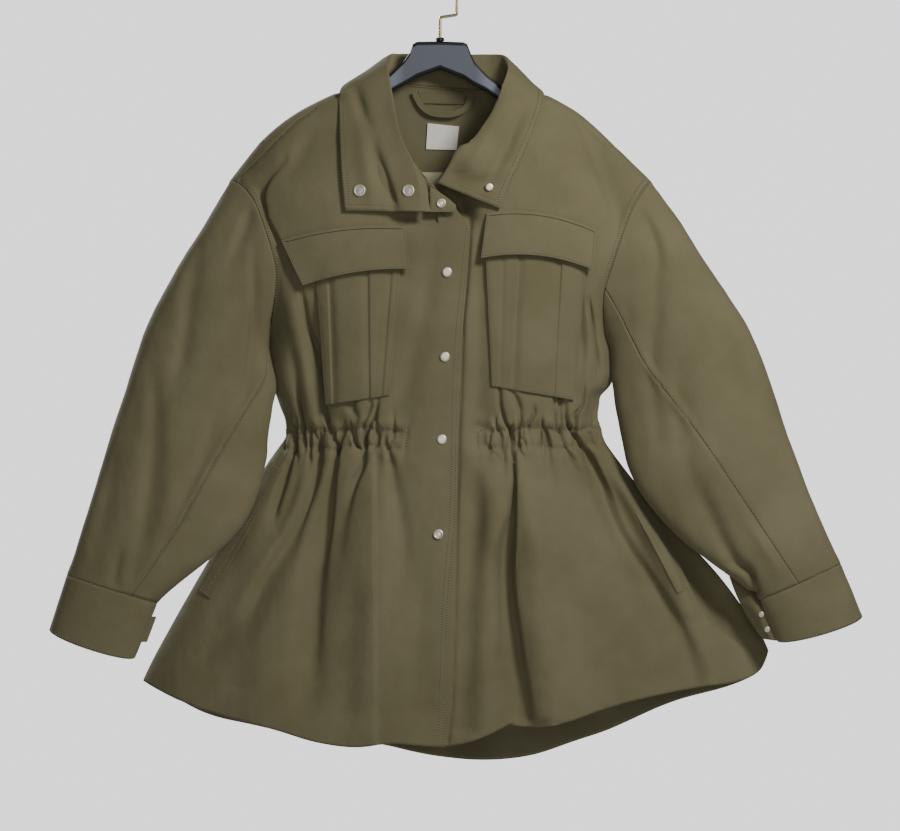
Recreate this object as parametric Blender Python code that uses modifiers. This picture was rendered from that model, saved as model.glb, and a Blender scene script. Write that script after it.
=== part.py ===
"""Short utility coat hung on a flat hanger, every sewn piece a solid of its own.

Metres, +Z up. The origin is the underside of the hook's top bar, where a rail would carry it.
The front faces -Y. "r" is the wearer's right (at -X), "l" the wearer's left (at +X).
The tables are in millimetres.
"""
import math
from collections import namedtuple

import bmesh
import bpy
import numpy as np
from mathutils import Vector
from mathutils.bvhtree import BVHTree

MM = 0.001

# ---------------------------------------------------------------- driving sizes, millimetres
WALL = 1.3              # cloth with its seam allowances
SEAM_GAP = 0.45         # each edge is drawn back this far from the seam line
ARMPIT_Z = -438.0
WAIST_Z = -553.0        # line of the elastic
ARMPIT_SIDE = 2.0       # the sleeve hangs this far outside the body at the armpit
ARMHOLE_GAP = 0.7       # the sleeve's edge, where the walls meet at an angle
SHOULDER_FALL = 200.0   # height over which the shoulder rounds into the chest
SHOULDER_TIP_Z = -247.0
SEAM_CALM = 16.0        # folds die out this far from a seam, and below the shoulder's ridge
RIDGE_CALM = 30.0
OVERLAP = 30.0          # width of front_r that laps over front_l
LAYER = 4.2             # depth between the lapped fronts
UNDERLAP = 44.0         # front_l starts to sink this far from the lapping edge
UNDERLAP_SLOPE = 36.0   # and takes this width to do so
SIDE_POWER = 2.2        # how square the body's section is
SIDE_EDGE = 0.62        # how flat the body lies towards its side seams
HEM_CORNER_R = -848.0   # lower end of each side seam
HEM_CORNER_L = -812.0
COLLAR_LIFT = 4.0       # collar above the cloth it lies on
SNAP_CAP = 6.0          # radii of the snaps
SNAP_SOCKET = 7.2
SNAP_STUD = 4.8
CORNER_LIFT = 4.6       # turned-out corner above the front, and where it folds
FOLD_LIFT = 1.5
CUFF_SAG = 8.0          # how much lower the front of each cuff hangs
CUFF_FLARE = 2.0        # how much deeper its lower edge is
TAB_REACH = 13.0        # underlap that shows beyond each cuff
TAB_SLOPE = 0.2         # rise of the underlap for each millimetre that it reaches out
REACH = 5.0             # how far round a point the cloth below it is felt for
WELT_REACH = 3.0        # the same under the pocket welts
NECK_REACH = 2.0        # and on the inside of the back
PATCH_LIFT = 1.75       # from the middle of one layer of cloth to the middle of the next
WELT_LIFT = {"r": 1.8, "l": 2.7}    # the left one bridges a fold
FLAP_RISE = 9.5         # how far the flaps' lower edges stand off, over the pockets
NECK_LIFT = 1.7         # cloth on the inside of the back
LABEL_LIFT = 1.6
LOOP_STAND = 3.5        # the hang loop at its ends, and how much further it bows out
LOOP_BOW = 3.0
SNAP_SEAT = 0.1         # a snap's base above the cloth

OLIVE = (0.147, 0.129, 0.067, 1.0)
PALE_OLIVE = (0.35, 0.33, 0.21, 1.0)
CREAM = (0.58, 0.54, 0.46, 1.0)
SLATE = (0.112, 0.117, 0.138, 1.0)
BLACK = (0.012, 0.012, 0.014, 1.0)
CHAMPAGNE = (0.62, 0.52, 0.34, 1.0)
NICKEL = (0.66, 0.65, 0.62, 1.0)

# ---------------------------------------------------------------- tables, millimetres
# Height, side seam of each half, and depth of the front and back. Above the armpit the sides
# are those that the body would have without sleeves.
Body = namedtuple("Body", "z right left front back")
BODY = (
    Body(-100, -310, 312, 60, 50),
    Body(-246, -300, 302, 64, 54),
    Body(-330, -262, 262, 66, 56),
    Body(-385, -234, 230, 66, 56),
    Body(-438, -204, 198, 66, 55),
    Body(-492, -197, 203, 64, 53),
    Body(-553, -187, 196, 60, 50),
    Body(-583, -206, 214, 63, 53),
    Body(-659, -252, 274, 72, 60),
    Body(-740, -300, 349, 82, 68),
    Body(-812, -340, 396, 86, 72),
    Body(-848, -358, 402, 88, 74),
    Body(-950, -372, 410, 90, 76),
)

# Top of the shoulders from tip to tip, over the hanger.
RIDGE = (
    (-250, -246), (-240, -238), (-228, -222), (-210, -205), (-192, -186), (-168, -170),
    (-144, -157), (-121, -146), (-90, -132), (-65, -119), (0, -106), (80, -132), (102, -138),
    (124, -146), (144, -154), (156, -161), (174, -172), (192, -189), (204, -199), (228, -222),
    (252, -247),
)

ARMHOLE_FRONT_R = ((-250, -246), (-233, -256), (-217, -282), (-210, -306), (-201, -330),
                   (-195, -354), (-196, -380), (-201, -408), (-204, -438))
ARMHOLE_FRONT_L = ((252, -247), (235, -270), (223, -298), (215, -322), (205, -350),
                   (197, -372), (194, -391), (195, -414), (198, -438))
ARMHOLE_BACK_R = ((-250, -246), (-241, -270), (-234, -300), (-229, -336), (-223, -372),
                  (-214, -408), (-204, -438))
ARMHOLE_BACK_L = ((252, -247), (242, -276), (234, -306), (228, -342), (220, -378),
                  (209, -412), (198, -438))

NECK_FRONT_R = ((-66, -124), (-62, -144), (-56, -174), (-44, -208), (-28, -232), (-13, -251))
TURNED_EDGE_R = ((-13, -251), (8, -266), (24, -283), (32, -291), (36, -306))
NECK_FRONT_L = ((80, -137), (73, -152), (59, -176), (42, -200), (18, -226), (-9, -254))
NECK_BACK = ((-67, -119), (-66, -123.6), (-54, -127), (-30, -131), (7, -133), (46, -135),
             (68, -137.5), (80, -136.6), (81, -132))

FRONT_EDGE = ((36, -306), (30, -390), (23, -486), (22, -534), (19, -666), (14, -702), (5, -924))

HEM_FRONT = (
    (-372, -840), (-358, -848), (-312, -870), (-270, -884), (-186, -906), (-156, -916),
    (-96, -924), (-66, -918), (4, -923), (10, -919), (36, -919), (50, -914), (72, -898),
    (90, -896), (108, -901), (158, -892), (192, -879), (300, -855), (360, -847), (386, -834),
    (396, -812),
)
HEM_BACK = (
    (-372, -842), (-358, -848), (-274, -895), (-232, -904), (-191, -914), (-126, -926),
    (-75, -928), (-51, -936), (7, -946), (41, -950), (110, -946), (142, -932), (201, -914),
    (241, -895), (280, -877), (360, -853), (386, -837), (396, -812),
)

# Creases: a run from (x0, z0) to (x1, z1), how far it sinks (+) or stands (-), and its half
# width towards its own left and right.
Crease = namedtuple("Crease", "x0 z0 x1 z1 sink left right")
FRONT_CREASES = (
    # skirt, wearer's right
    Crease(-146, -562, -190, -668, 9, 9, 12),
    Crease(-186, -660, -292, -830, 8, 16, 24),
    Crease(-124, -566, -139, -650, 11, 8, 8),
    Crease(-137, -640, -156, -860, 16, 18, 22),
    Crease(-92, -566, -116, -660, 6, 8, 8),
    Crease(-60, -566, -40, -650, 5, 12, 12),
    Crease(-40, -640, -52, -740, 6, 18, 16),
    Crease(-78, -600, -78, -935, -8, 22, 26),
    Crease(-225, -640, -215, -925, -6, 26, 22),
    Crease(-196, -596, -225, -640, -4, 14, 14),
    # skirt, wearer's left
    Crease(89, -556, 87, -690, 16, 9, 6),
    Crease(88, -670, 103, -925, 22, 26, 15),
    Crease(74, -575, 56, -915, -8, 24, 14),
    Crease(112, -640, 124, -920, -9, 20, 34),
    Crease(32, -600, 34, -915, 7, 14, 16),
    Crease(128, -560, 132, -600, 5, 6, 6),
    Crease(172, -560, 222, -662, 10, 12, 9),
    Crease(216, -650, 312, -868, 13, 22, 16),
    Crease(205, -590, 296, -760, -8, 13, 13),
    Crease(268, -650, 356, -800, 14, 14, 26),
    # chest and drape beside the pockets
    Crease(-180, -370, -182, -545, -9, 16, 18),
    Crease(-153, -368, -142, -540, 9, 9, 9),
    Crease(-166, -180, -208, -262, -5, 18, 18),
    Crease(170, -330, 168, -520, 9, 10, 9),
    Crease(184, -340, 180, -520, -7, 10, 14),
    Crease(172, -180, 228, -296, 10, 20, 18),
    Crease(130, -170, 160, -262, -4, 24, 20),
    Crease(-112, -505, -84, -545, -5, 12, 12),
    Crease(104, -500, 132, -545, -5, 14, 14),
)
BACK_CREASES = (
    Crease(-120, -562, -178, -870, 13, 18, 20),
    Crease(-60, -562, -76, -900, 10, 15, 18),
    Crease(-8, -565, -2, -930, 14, 17, 20),
    Crease(58, -562, 70, -900, 11, 18, 15),
    Crease(122, -562, 190, -880, 13, 20, 18),
    Crease(-150, -600, -262, -880, -7, 22, 22),
    Crease(-35, -640, -40, -930, -7, 20, 20),
    Crease(30, -640, 34, -930, -7, 20, 20),
    Crease(158, -600, 290, -860, -7, 22, 22),
    Crease(-196, -290, -130, -440, 6, 18, 22),
    Crease(196, -290, 126, -440, 6, 22, 18),
    Crease(-120, -250, -96, -500, -5, 26, 26),
    Crease(116, -250, 96, -500, -5, 26, 26),
)

# Where the elastic runs: first and last pucker and how many.
PUCKER_WIDTH = 3.6
Ruche = namedtuple("Ruche", "start stop count depth reach")
FRONT_RUCHES = (Ruche(-182, -48, 11, 5.0, 15), Ruche(48, 190, 12, 5.0, 15))
BACK_RUCHES = (Ruche(-178, 184, 26, 4.6, 15),)

# Sleeve sections from cap to cuff: outer and inner edge seen from the front, the middle's y,
# half the depth, and the angle of the front seam from the outer edge, in degrees.
Sleeve = namedtuple("Sleeve", "outer_x outer_z inner_x inner_z y depth seam")
SLEEVE_R = (
    Sleeve(-278, -294, -208, -447, -1, 39, 160),
    Sleeve(-312, -348, -208, -454, -3, 39, 160),
    Sleeve(-336, -390, -207, -462, -6, 38, 158),
    Sleeve(-356, -432, -205, -479, -10, 37, 154),
    Sleeve(-376, -492, -203, -512, -17, 36, 140),
    Sleeve(-397, -554, -208, -562, -28, 34, 118),
    Sleeve(-413, -614, -222, -632, -42, 32, 106),
    Sleeve(-428, -666, -240, -668, -50, 30, 101),
    Sleeve(-440, -703, -287, -711, -53, 28, 106),
    Sleeve(-446, -719, -338, -753, -53, 25, 116),
)
SLEEVE_L = (
    Sleeve(284, -294, 205, -447, -1, 39, 128),
    Sleeve(319, -348, 206, -455, -3, 39, 127),
    Sleeve(347, -390, 207, -463, -6, 38, 126),
    Sleeve(372, -432, 207.5, -480, -10, 37, 123),
    Sleeve(396, -492, 209, -512, -17, 36, 107),
    Sleeve(418, -554, 217, -560, -28, 34, 92),
    Sleeve(439, -614, 246, -620, -42, 32, 84),
    Sleeve(460, -666, 289, -672, -50, 30, 81),
    Sleeve(474, -695, 345, -716, -53, 28, 89),
    Sleeve(479, -705, 381, -750, -53, 25, 93),
)
# Cuffs: outer and inner end of the lower edge, and the angles the band covers, measured the
# same way, so that what is left is the vent.
Cuff = namedtuple("Cuff", "outer_x outer_z inner_x inner_z start stop")
CUFF_R = Cuff(-467, -784, -364, -817, -158, 186)
CUFF_L = Cuff(505, -768, 403, -797, -166, 168)

# Collar stations from the front end round to the middle of the back: neck seam, roll and free
# edge. A y of None is worked out from the cloth below.
Station = namedtuple("Station", "nx ny nz rx ry rz ex ey ez")
COLLAR_R = (
    Station(-12.5, -70.5, -286, -23, -73, -286, -114, None, -284),
    Station(-13.5, -70, -268, -24, -73, -267, -118, None, -246),
    Station(-15, -66, -250, -25, -72, -246, -120, None, -210),
    Station(-29, None, -230, -32, -67, -225, -121, None, -182),
    Station(-45, None, -206, -47, -58, -200, -121, None, -161),
    Station(-55.4, None, -172, -54.6, -49, -161, -121, None, -148),
    Station(-61.2, None, -142, -59, -34, -127, -119, -20, -139),
    Station(-66.5, -17, -122, -61, -16, -108, -117, -7, -134),
    Station(-67.5, 0, -117.3, -61, 0, -99, -113, 6, -131),
    Station(-66.5, 12.5, -122.2, -60, 15, -94, -104, 20, -132),
    Station(-54, None, -125.4, -54, 26, -91, -84, 33, -140),
    Station(-29, None, -129.7, -32, 33, -91, -48, 41, -145),
)
COLLAR_BACK = Station(7, None, -131.7, 7, 35, -92, 7, 44, -147)
COLLAR_L = (
    Station(-9, None, -252, -2, -66, -252, 72, None, -282),
    Station(9, None, -233, 12, -66, -229, 84, None, -252),
    Station(26, None, -217, 29, -61, -210, 97, None, -225),
    Station(41.6, None, -197, 45, -54, -189, 108, None, -200),
    Station(58.2, None, -174, 60, -44, -166, 117, None, -178),
    Station(70.2, None, -153, 70, -37, -142, 124, None, -159),
    Station(77, None, -140, 76.5, -26, -125, 126, -20, -144),
    Station(81.5, -15, -134, 80, -13, -112, 124, -7, -138),
    Station(82.5, 0, -130.3, 79, 1, -101, 119, 6, -134),
    Station(80.5, 12.5, -135.2, 76, 15, -95, 110, 20, -135),
    Station(68, None, -136, 66, 26, -92, 92, 33, -143),
    Station(46, None, -133.6, 44, 33, -91, 56, 41, -146),
)

# Pieces that lie on a front: their corners as seen, and how far the middle of the upper and
# the lower edge arches up.
Patch = namedtuple("Patch", "top_left top_right low_right low_left top_arch low_arch")
POCKET_R = Patch((-150, -345), (-45, -330), (-60, -504), (-137, -516), 0, 0)
POCKET_L = Patch((54, -322), (176, -332), (161, -510), (62, -493), 0, 0)
FLAP_R = Patch((-190, -319), (-42, -303), (-35, -354), (-164, -373), 7, 6)
FLAP_L = Patch((56, -287), (187, -306), (183, -354), (49, -341), 10, 10)
WELT_R = Patch((-204, -585), (-190, -592), (-276, -748), (-290, -739), 0, 0)
WELT_L = Patch((233, -644), (246, -636), (298, -735), (284, -741), 0, 0)
PLEAT_R = (0.2, 0.75)   # shares of the pocket's width between which the box pleat stands
PLEAT_L = (0.32, 0.77)
PLEAT_STEP = 0.02       # share of the width that each edge of the pleat takes
POCKET_RISE = (0.0, 2.6, 3.4, 5.6, 6.4, 5.6, 3.4, 2.6, 0.0)     # across, over the pleat
# How much of that rise is there, from the pocket's top down.
Swell = namedtuple("Swell", "down share")
POCKET_SWELL = (Swell(0.0, 0.1), Swell(0.12, 0.4), Swell(0.3, 0.8), Swell(0.6, 1.0),
                Swell(0.9, 0.75), Swell(1.0, 0.1))

# Hanger: top and bottom edge and half its thickness, from end to end.
Bar = namedtuple("Bar", "x top bottom half")
HANGER = (
    Bar(-197, -201, -205, 4), Bar(-191, -193, -210, 7.5), Bar(-160, -168.6, -191, 8.5),
    Bar(-120, -148.6, -172, 8.5), Bar(-80, -130.2, -155, 8), Bar(-66, -121.6, -145, 7.5),
    Bar(-58, -114.5, -138, 7.5), Bar(-43, -100, -130, 7), Bar(-36, -90, -126, 7),
    Bar(-33, -81, -124, 7), Bar(-28, -78, -121, 7), Bar(0, -77.5, -111, 7),
    Bar(28, -78.5, -122, 7), Bar(33, -81, -125, 7), Bar(37, -92, -128, 7),
    Bar(42, -103, -131, 7), Bar(56, -118, -138, 7.5), Bar(73, -131.6, -150, 7.5),
    Bar(84, -135.4, -156, 8), Bar(124, -148.7, -172, 8.5), Bar(160, -167.2, -188, 8.5),
    Bar(190, -191.5, -209, 7.5), Bar(197, -201, -206, 4),
)
HANGER_ROUND = 5.5      # rounding of the hanger's long edges
HOOK_WIRE = 3.8
HOOK = ((0, -72.6), (0, -50), (0.8, -48.6), (2.4, -48.1), (18, -45.8), (19.6, -45), (20, -43.5),
        (20, -1), (19.2, 1.1), (17, 1.9), (-17, 1.9), (-19.2, 1.1), (-20, -1), (-20, -10))
FERRULE = ((0.0, -73.0), (4.4, -73.0), (5.0, -73.8), (5.0, -76.6), (4.6, -77.2), (0.0, -77.2))
FERRULE_SIDES = 16

# The turned-out corner of front_r's facing: its edge on the fold and its free edge.
CORNER_FOLD = ((-11.6, -256), (8, -268), (24, -283))
CORNER_EDGE = ((-11.6, -286), (8, -286), (26, -285))
CORNER_SHOWN = 0.84     # share of those lines that the corner covers
CORNER_BEND = 0.35      # share of its height that the fold takes

# Loop for hanging, along the inside of the back neck.
LOOP_LINE = ((-31, -137), (-27, -147), (-19, -157), (-7, -163), (10, -164), (24, -161),
             (34, -152), (38, -139))
LOOP_WIDTH = 7.0
LOOP_POINTS = 15
LOOP_PATCH = Patch((-26, -136), (31, -137), (31, -151), (-26, -150), 0, 0)
LABEL = Patch((-15, -174), (23, -178), (20, -206), (-17, -205), 0, 0)
LABEL_WALL = 1.0
BACK_LINING = Patch((-42, -233), (24, -233), (24, -262), (-42, -262), 0, 0)

# Snaps: where the middle lies on the piece that carries it, and the radius.
Snap = namedtuple("Snap", "name carrier x z radius kind")
SNAPS = (
    Snap("snap_collar_1", "collar", -96, -260, SNAP_SOCKET, "socket"),
    Snap("snap_collar_2", "collar", -37.6, -260.5, SNAP_SOCKET, "socket"),
    Snap("snap_lapel", "facing_corner_r", 1.5, -275.5, 5.6, "socket"),
    Snap("snap_stud", "collar", 59, -256, SNAP_STUD, "cap"),
    Snap("snap_front_1", "front_r", 8.5, -357.5, SNAP_CAP, "cap"),
    Snap("snap_front_2", "front_r", 6, -458.5, SNAP_CAP, "cap"),
    Snap("snap_front_3", "front_r", 2.2, -557, SNAP_CAP, "cap"),
    Snap("snap_front_4", "front_r", -2, -670, SNAP_CAP, "cap"),
    Snap("snap_cuff_1", "cuff_tab_l", 384, -766, 3.6, "cap"),
    Snap("snap_cuff_2", "cuff_tab_l", 391, -784, 3.6, "cap"),
)
# Turned profiles of a snap: share of its radius, and height above the cloth.
CAP_PROFILE = ((0.0, 2.3), (0.55, 2.1), (0.88, 1.5), (1.0, 0.9), (1.0, 0.3), (0.0, 0.3))
SOCKET_PROFILE = ((0.0, 1.2), (0.4, 1.2), (0.48, 0.7), (0.66, 0.7), (0.78, 2.0), (0.92, 1.9),
                  (1.0, 1.1), (1.0, 0.3), (0.0, 0.3))
SNAP_SIDES = 12


# ---------------------------------------------------------------- curves
def smooth(points, at):
    """Value of a table's smooth curve, which never swings past its own rows."""
    points = sorted(points)
    x = np.array([p[0] for p in points], float)
    y = np.array([p[1] for p in points], float)
    at = np.clip(np.asarray(at, float), x[0], x[-1])
    run = np.diff(x)
    slope = np.diff(y) / run
    tangent = np.zeros_like(y)
    tangent[0], tangent[-1] = slope[0], slope[-1]
    for i in range(1, len(x) - 1):
        if slope[i - 1] * slope[i] > 0:
            w1 = 2 * run[i] + run[i - 1]
            w2 = run[i] + 2 * run[i - 1]
            tangent[i] = (w1 + w2) / (w1 / slope[i - 1] + w2 / slope[i])
    i = np.clip(np.searchsorted(x, at, side="right") - 1, 0, len(run) - 1)
    t = (at - x[i]) / run[i]
    rise = (2 * t**3 - 3 * t**2 + 1) * y[i] + (-2 * t**3 + 3 * t**2) * y[i + 1]
    return rise + run[i] * ((t**3 - 2 * t**2 + t) * tangent[i] + (t**3 - t**2) * tangent[i + 1])


def column(table, key, name, at):
    """One column of a named table, read smoothly against another."""
    return smooth([(getattr(row, key), getattr(row, name)) for row in table], at)


def along(points, t):
    """Point at each share t of a line's length, smooth through its points."""
    points = np.array(points, float)
    steps = np.linalg.norm(np.diff(points, axis=0), axis=1)
    share = np.concatenate([[0.0], np.cumsum(steps)]) / steps.sum()
    return np.stack([smooth(list(zip(share, points[:, k])), t) for k in range(points.shape[1])], -1)


# ---------------------------------------------------------------- the cloth's surface
def ridge_z(x):
    return smooth(RIDGE, x)


def edge_x(z):
    """Line of the lapping front edge."""
    return smooth([(point[1], point[0]) for point in FRONT_EDGE], z)


def round_off(drop):
    """How far the cloth has come out from the shoulder's ridge, 0 to 1."""
    t = np.clip(drop / SHOULDER_FALL, 0.0, 1.0)
    return np.sqrt(1.0 - (1.0 - t) ** 2)


def section(x, z):
    """Depth of the flattened body at x, 1 in the middle and 0 at the side seam."""
    side = np.where(x < 0, column(BODY, "z", "right", z), column(BODY, "z", "left", z))
    share = np.clip(np.abs(x / side), 0.0, 1.0)
    return (1.0 - share**SIDE_POWER) ** SIDE_EDGE


def pucker_x(ruche, i):
    """Place of the i-th pucker; a half lies between two of them."""
    pitch = (ruche.stop - ruche.start) / (ruche.count - 1)
    return ruche.start + pitch * (i + 0.22 * math.sin(2.4 * i + 1.0))


def ruche_creases(ruches):
    """Short uneven puckers on both sides of the elastic."""
    creases = []
    for ruche in ruches:
        for i in range(ruche.count):
            x = pucker_x(ruche, i)
            up = ruche.reach * (1.0 + 0.5 * math.sin(1.7 * i))
            down = ruche.reach * (1.1 + 0.6 * math.sin(2.9 * i + 0.6))
            depth = ruche.depth * (0.85 + 0.25 * math.sin(3.7 * i + 2.0))
            lean = 3.0 * math.sin(5.1 * i)
            creases.append(Crease(x + lean, WAIST_Z + up, x - lean, WAIST_Z - down, depth,
                                  PUCKER_WIDTH, PUCKER_WIDTH))
    return creases


def sink(creases, x, z):
    """How far the creases press the cloth in at each point."""
    total = np.zeros(np.broadcast(x, z).shape)
    for c in creases:
        run_x, run_z = c.x1 - c.x0, c.z1 - c.z0
        length = math.hypot(run_x, run_z)
        t = ((x - c.x0) * run_x + (z - c.z0) * run_z) / length**2
        across = ((x - c.x0) * run_z - (z - c.z0) * run_x) / length
        width = np.where(across > 0, c.left, c.right)
        fade = np.exp(-np.clip(np.abs(t - 0.5) - 0.36, 0.0, None) ** 2 / 0.02)
        total = total + c.sink * fade * np.exp(-((across / width) ** 2))
    return total


def seam_mask(x, z):
    """0 on the side seams and armholes, 1 in the panel, so that seamed edges still meet."""
    side = np.where(x < 0, column(BODY, "z", "right", z), column(BODY, "z", "left", z))
    hole = np.where(x < 0, smooth([(p[1], p[0]) for p in ARMHOLE_FRONT_R], z),
                    smooth([(p[1], p[0]) for p in ARMHOLE_FRONT_L], z))
    edge = np.where(z > ARMPIT_Z, np.where(z > SHOULDER_TIP_Z, 1e3, hole), side)
    inside = np.clip((np.abs(edge) - np.abs(x)) / SEAM_CALM, 0.0, 1.0)
    below = np.clip((ridge_z(x) - z) / RIDGE_CALM, 0.0, 1.0)
    return inside * below * below * (3 - 2 * below)


# The folds and puckers of each side.
FRONT_FOLDS = list(FRONT_CREASES) + ruche_creases(FRONT_RUCHES)
BACK_FOLDS = list(BACK_CREASES) + ruche_creases(BACK_RUCHES)


def front_y(x, z):
    depth = column(BODY, "z", "front", z) * section(x, z) * round_off(ridge_z(x) - z)
    return -depth + sink(FRONT_FOLDS, x, z) * seam_mask(x, z)


def back_y(x, z):
    depth = column(BODY, "z", "back", z) * section(x, z) * round_off(ridge_z(x) - z)
    return depth - sink(BACK_FOLDS, x, z) * seam_mask(x, z)


# ---------------------------------------------------------------- meshes
FACING_BACK = ("back",)  # the other panels' largest face looks to the front
MERGE = 0.02            # points nearer than this are one


def make_object(name, mesh, colour, roughness=0.85, metallic=0.0):
    material = bpy.data.materials.new(name + "_look")
    material.use_nodes = True
    shader = material.node_tree.nodes["Principled BSDF"]
    shader.inputs["Base Color"].default_value = colour
    shader.inputs["Roughness"].default_value = roughness
    shader.inputs["Metallic"].default_value = metallic
    mesh.materials.append(material)
    part = bpy.data.objects.new(name, mesh)
    coat.objects.link(part)
    return part


class MarkedRow(list):
    """A row of points that knows where each lies between the panel's edges, 0 to 1."""

    def __init__(self, points, shares):
        super().__init__(points)
        self.shares = shares


def rows_to_mesh(name, grids):
    """Open surface through rows of points; rows of unlike counts are bridged."""
    bm = bmesh.new()
    for rows in grids:
        add_rows(bm, rows)
    bmesh.ops.remove_doubles(bm, verts=bm.verts, dist=MERGE * MM)
    bmesh.ops.recalc_face_normals(bm, faces=bm.faces)
    middle = max(bm.faces, key=lambda face: face.calc_area())
    if (middle.normal.y > 0) != (name in FACING_BACK):
        bmesh.ops.reverse_faces(bm, faces=bm.faces)
    mesh = bpy.data.meshes.new(name)
    bm.to_mesh(mesh)
    bm.free()
    return mesh


def add_rows(bm, rows):
    """Faces between each row and the next, point by point in the order of their shares."""
    made = [[bm.verts.new(np.asarray(p, float) * MM) for p in row] for row in rows]
    for upper, lower, a, b in zip(made, made[1:], rows, rows[1:]):
        i = j = 0
        share_a = row_shares(a)
        share_b = row_shares(b)
        while i < len(upper) - 1 or j < len(lower) - 1:
            step_a = share_a[i + 1] if i < len(upper) - 1 else 2.0
            step_b = share_b[j + 1] if j < len(lower) - 1 else 2.0
            if abs(step_a - step_b) < 1e-4:
                bm.faces.new((upper[i], lower[j], lower[j + 1], upper[i + 1]))
                i, j = i + 1, j + 1
            elif step_a < step_b:
                bm.faces.new((upper[i], lower[j], upper[i + 1]))
                i += 1
            else:
                bm.faces.new((upper[i], lower[j], lower[j + 1]))
                j += 1


def row_shares(row):
    """A marked row's own shares, and even ones for any other."""
    if isinstance(row, MarkedRow):
        return row.shares
    return np.linspace(0.0, 1.0, len(row))


def draw_back(rows, first=SEAM_GAP, last=SEAM_GAP, top=SEAM_GAP, bottom=0.0):
    """Move each edge of a panel in towards its own middle, to leave the seam's gap."""
    def pull(point, towards, gap):
        run = np.asarray(towards, float) - point
        length = np.linalg.norm(run)
        return point + run * (gap / length) if length > 1e-6 else point

    shares = [row_shares(row) for row in rows]
    grid = [[np.asarray(p, float) for p in row] for row in rows]
    for row in grid:
        row[0] = pull(row[0], row[1], first)
        row[-1] = pull(row[-1], row[-2], last)
    for edge, inner, gap in ((0, 1, top), (-1, -2, bottom)):
        for k, point in enumerate(grid[edge]):
            place = np.searchsorted(shares[inner], shares[edge][k])
            place = min(place, len(grid[inner]) - 1)
            grid[edge][k] = pull(point, grid[inner][place], gap)
    return [MarkedRow(row, share) for row, share in zip(grid, shares)]


def cloth(name, rows, colour=OLIVE, wall=WALL, more=()):
    """A panel: the surface through the rows, given the cloth's thickness both ways."""
    mesh = rows_to_mesh(name, [rows, *more])
    part = make_object(name, mesh, colour)
    thickness = part.modifiers.new("cloth", "SOLIDIFY")
    thickness.thickness = wall * MM
    thickness.offset = 0.0
    thickness.use_even_offset = False
    mesh.shade_smooth()
    surfaces[name] = BVHTree.FromObject(part, bpy.context.evaluated_depsgraph_get())
    return part


# ---------------------------------------------------------------- fronts and back
CHEST_SHARES = np.array([0.0, 0.004, 0.015, 0.05, 0.11, 0.2, 0.32, 0.45, 0.58, 0.7, 0.8, 0.88,
                         0.94, 1.0])
BACK_COLUMNS = np.array([0.0, 0.14, 0.28, 0.392, 0.42, 0.53, 0.64, 0.76, 0.87, 0.95, 1.0])
NECK_SHARE = 0.42       # share of the panel's top that the neck takes
SEAM_DROP = 5.0         # shoulder seam below the ridge, in front
NECK_BEND = 0.82        # where front_r's neck turns into its turned-out edge
FRONT_NECK = [0.5, 0.58, 0.66, 0.74, NECK_BEND, 0.91, 1.0]
SKIRT_COLUMNS = 25
BACK_WAIST_COLUMNS = 53
BACK_SKIRT_COLUMNS = 31
WAIST_ROWS = (-466, -498, -526, -542, -553, -564, -584)
FINE_REACH = 15         # rows this near the elastic have a column for every pucker
SKIRT_SHARES = np.array([0.12, 0.24, 0.38, 0.52, 0.66, 0.8, 0.91, 1.0])


def side_x(half, z):
    return column(BODY, "z", "right" if half == "r" else "left", z)


def turn_range(half, z, last_x):
    """The panel's turn from its side seam (a quarter) to its front edge."""
    return math.asin(float(last_x / side_x(half, z)))


def front_limit(half, z):
    """x of a front's own edge."""
    return float(edge_x(z)) if half == "r" else float(edge_x(z)) - OVERLAP


def lapped_y(half, x, z):
    """front_y, with front_l set back where front_r lies on it."""
    y = front_y(x, z)
    if half == "r":
        return y
    under = np.clip((edge_x(z) + UNDERLAP - x) / UNDERLAP_SLOPE, 0.0, 1.0)
    return y + LAYER * under * under * (3 - 2 * under)


def coons(top, bottom, left, right, u, v):
    """Point inside four edges, each given as a function of its share."""
    across = (1 - v) * top(u) + v * bottom(u)
    down = (1 - u) * left(v) + u * right(v)
    corners = ((1 - u) * (1 - v) * top(0.0) + u * (1 - v) * top(1.0)
               + (1 - u) * v * bottom(0.0) + u * v * bottom(1.0))
    return across + down - corners


def shoulder_seam(points_from_tip, drop_at_neck):
    """The seam runs just in front of the ridge and reaches it at the sleeve."""
    seam = []
    for k, (x, z) in enumerate(points_from_tip):
        share = k / (len(points_from_tip) - 1)
        seam.append((x, z - drop_at_neck * min(1.0, 2.0 * share)))
    return seam


def ridge_points(half):
    points = [p for p in RIDGE if (p[0] < -60 if half == "r" else p[0] > 78)]
    return points if half == "r" else points[::-1]


def broken_line(parts, shares):
    """One edge made of several lines, with the shares where they join."""
    def point(u):
        for line, start, stop in zip(parts, shares, shares[1:]):
            if u <= stop or stop == shares[-1]:
                return along(line, (u - start) / (stop - start))
        return None
    return point


def front_top(half):
    seam = shoulder_seam(ridge_points(half), SEAM_DROP)
    if half == "r":
        return broken_line([seam, NECK_FRONT_R, TURNED_EDGE_R], [0.0, NECK_SHARE, NECK_BEND, 1.0])
    return broken_line([seam, NECK_FRONT_L], [0.0, NECK_SHARE, 1.0])


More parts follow.
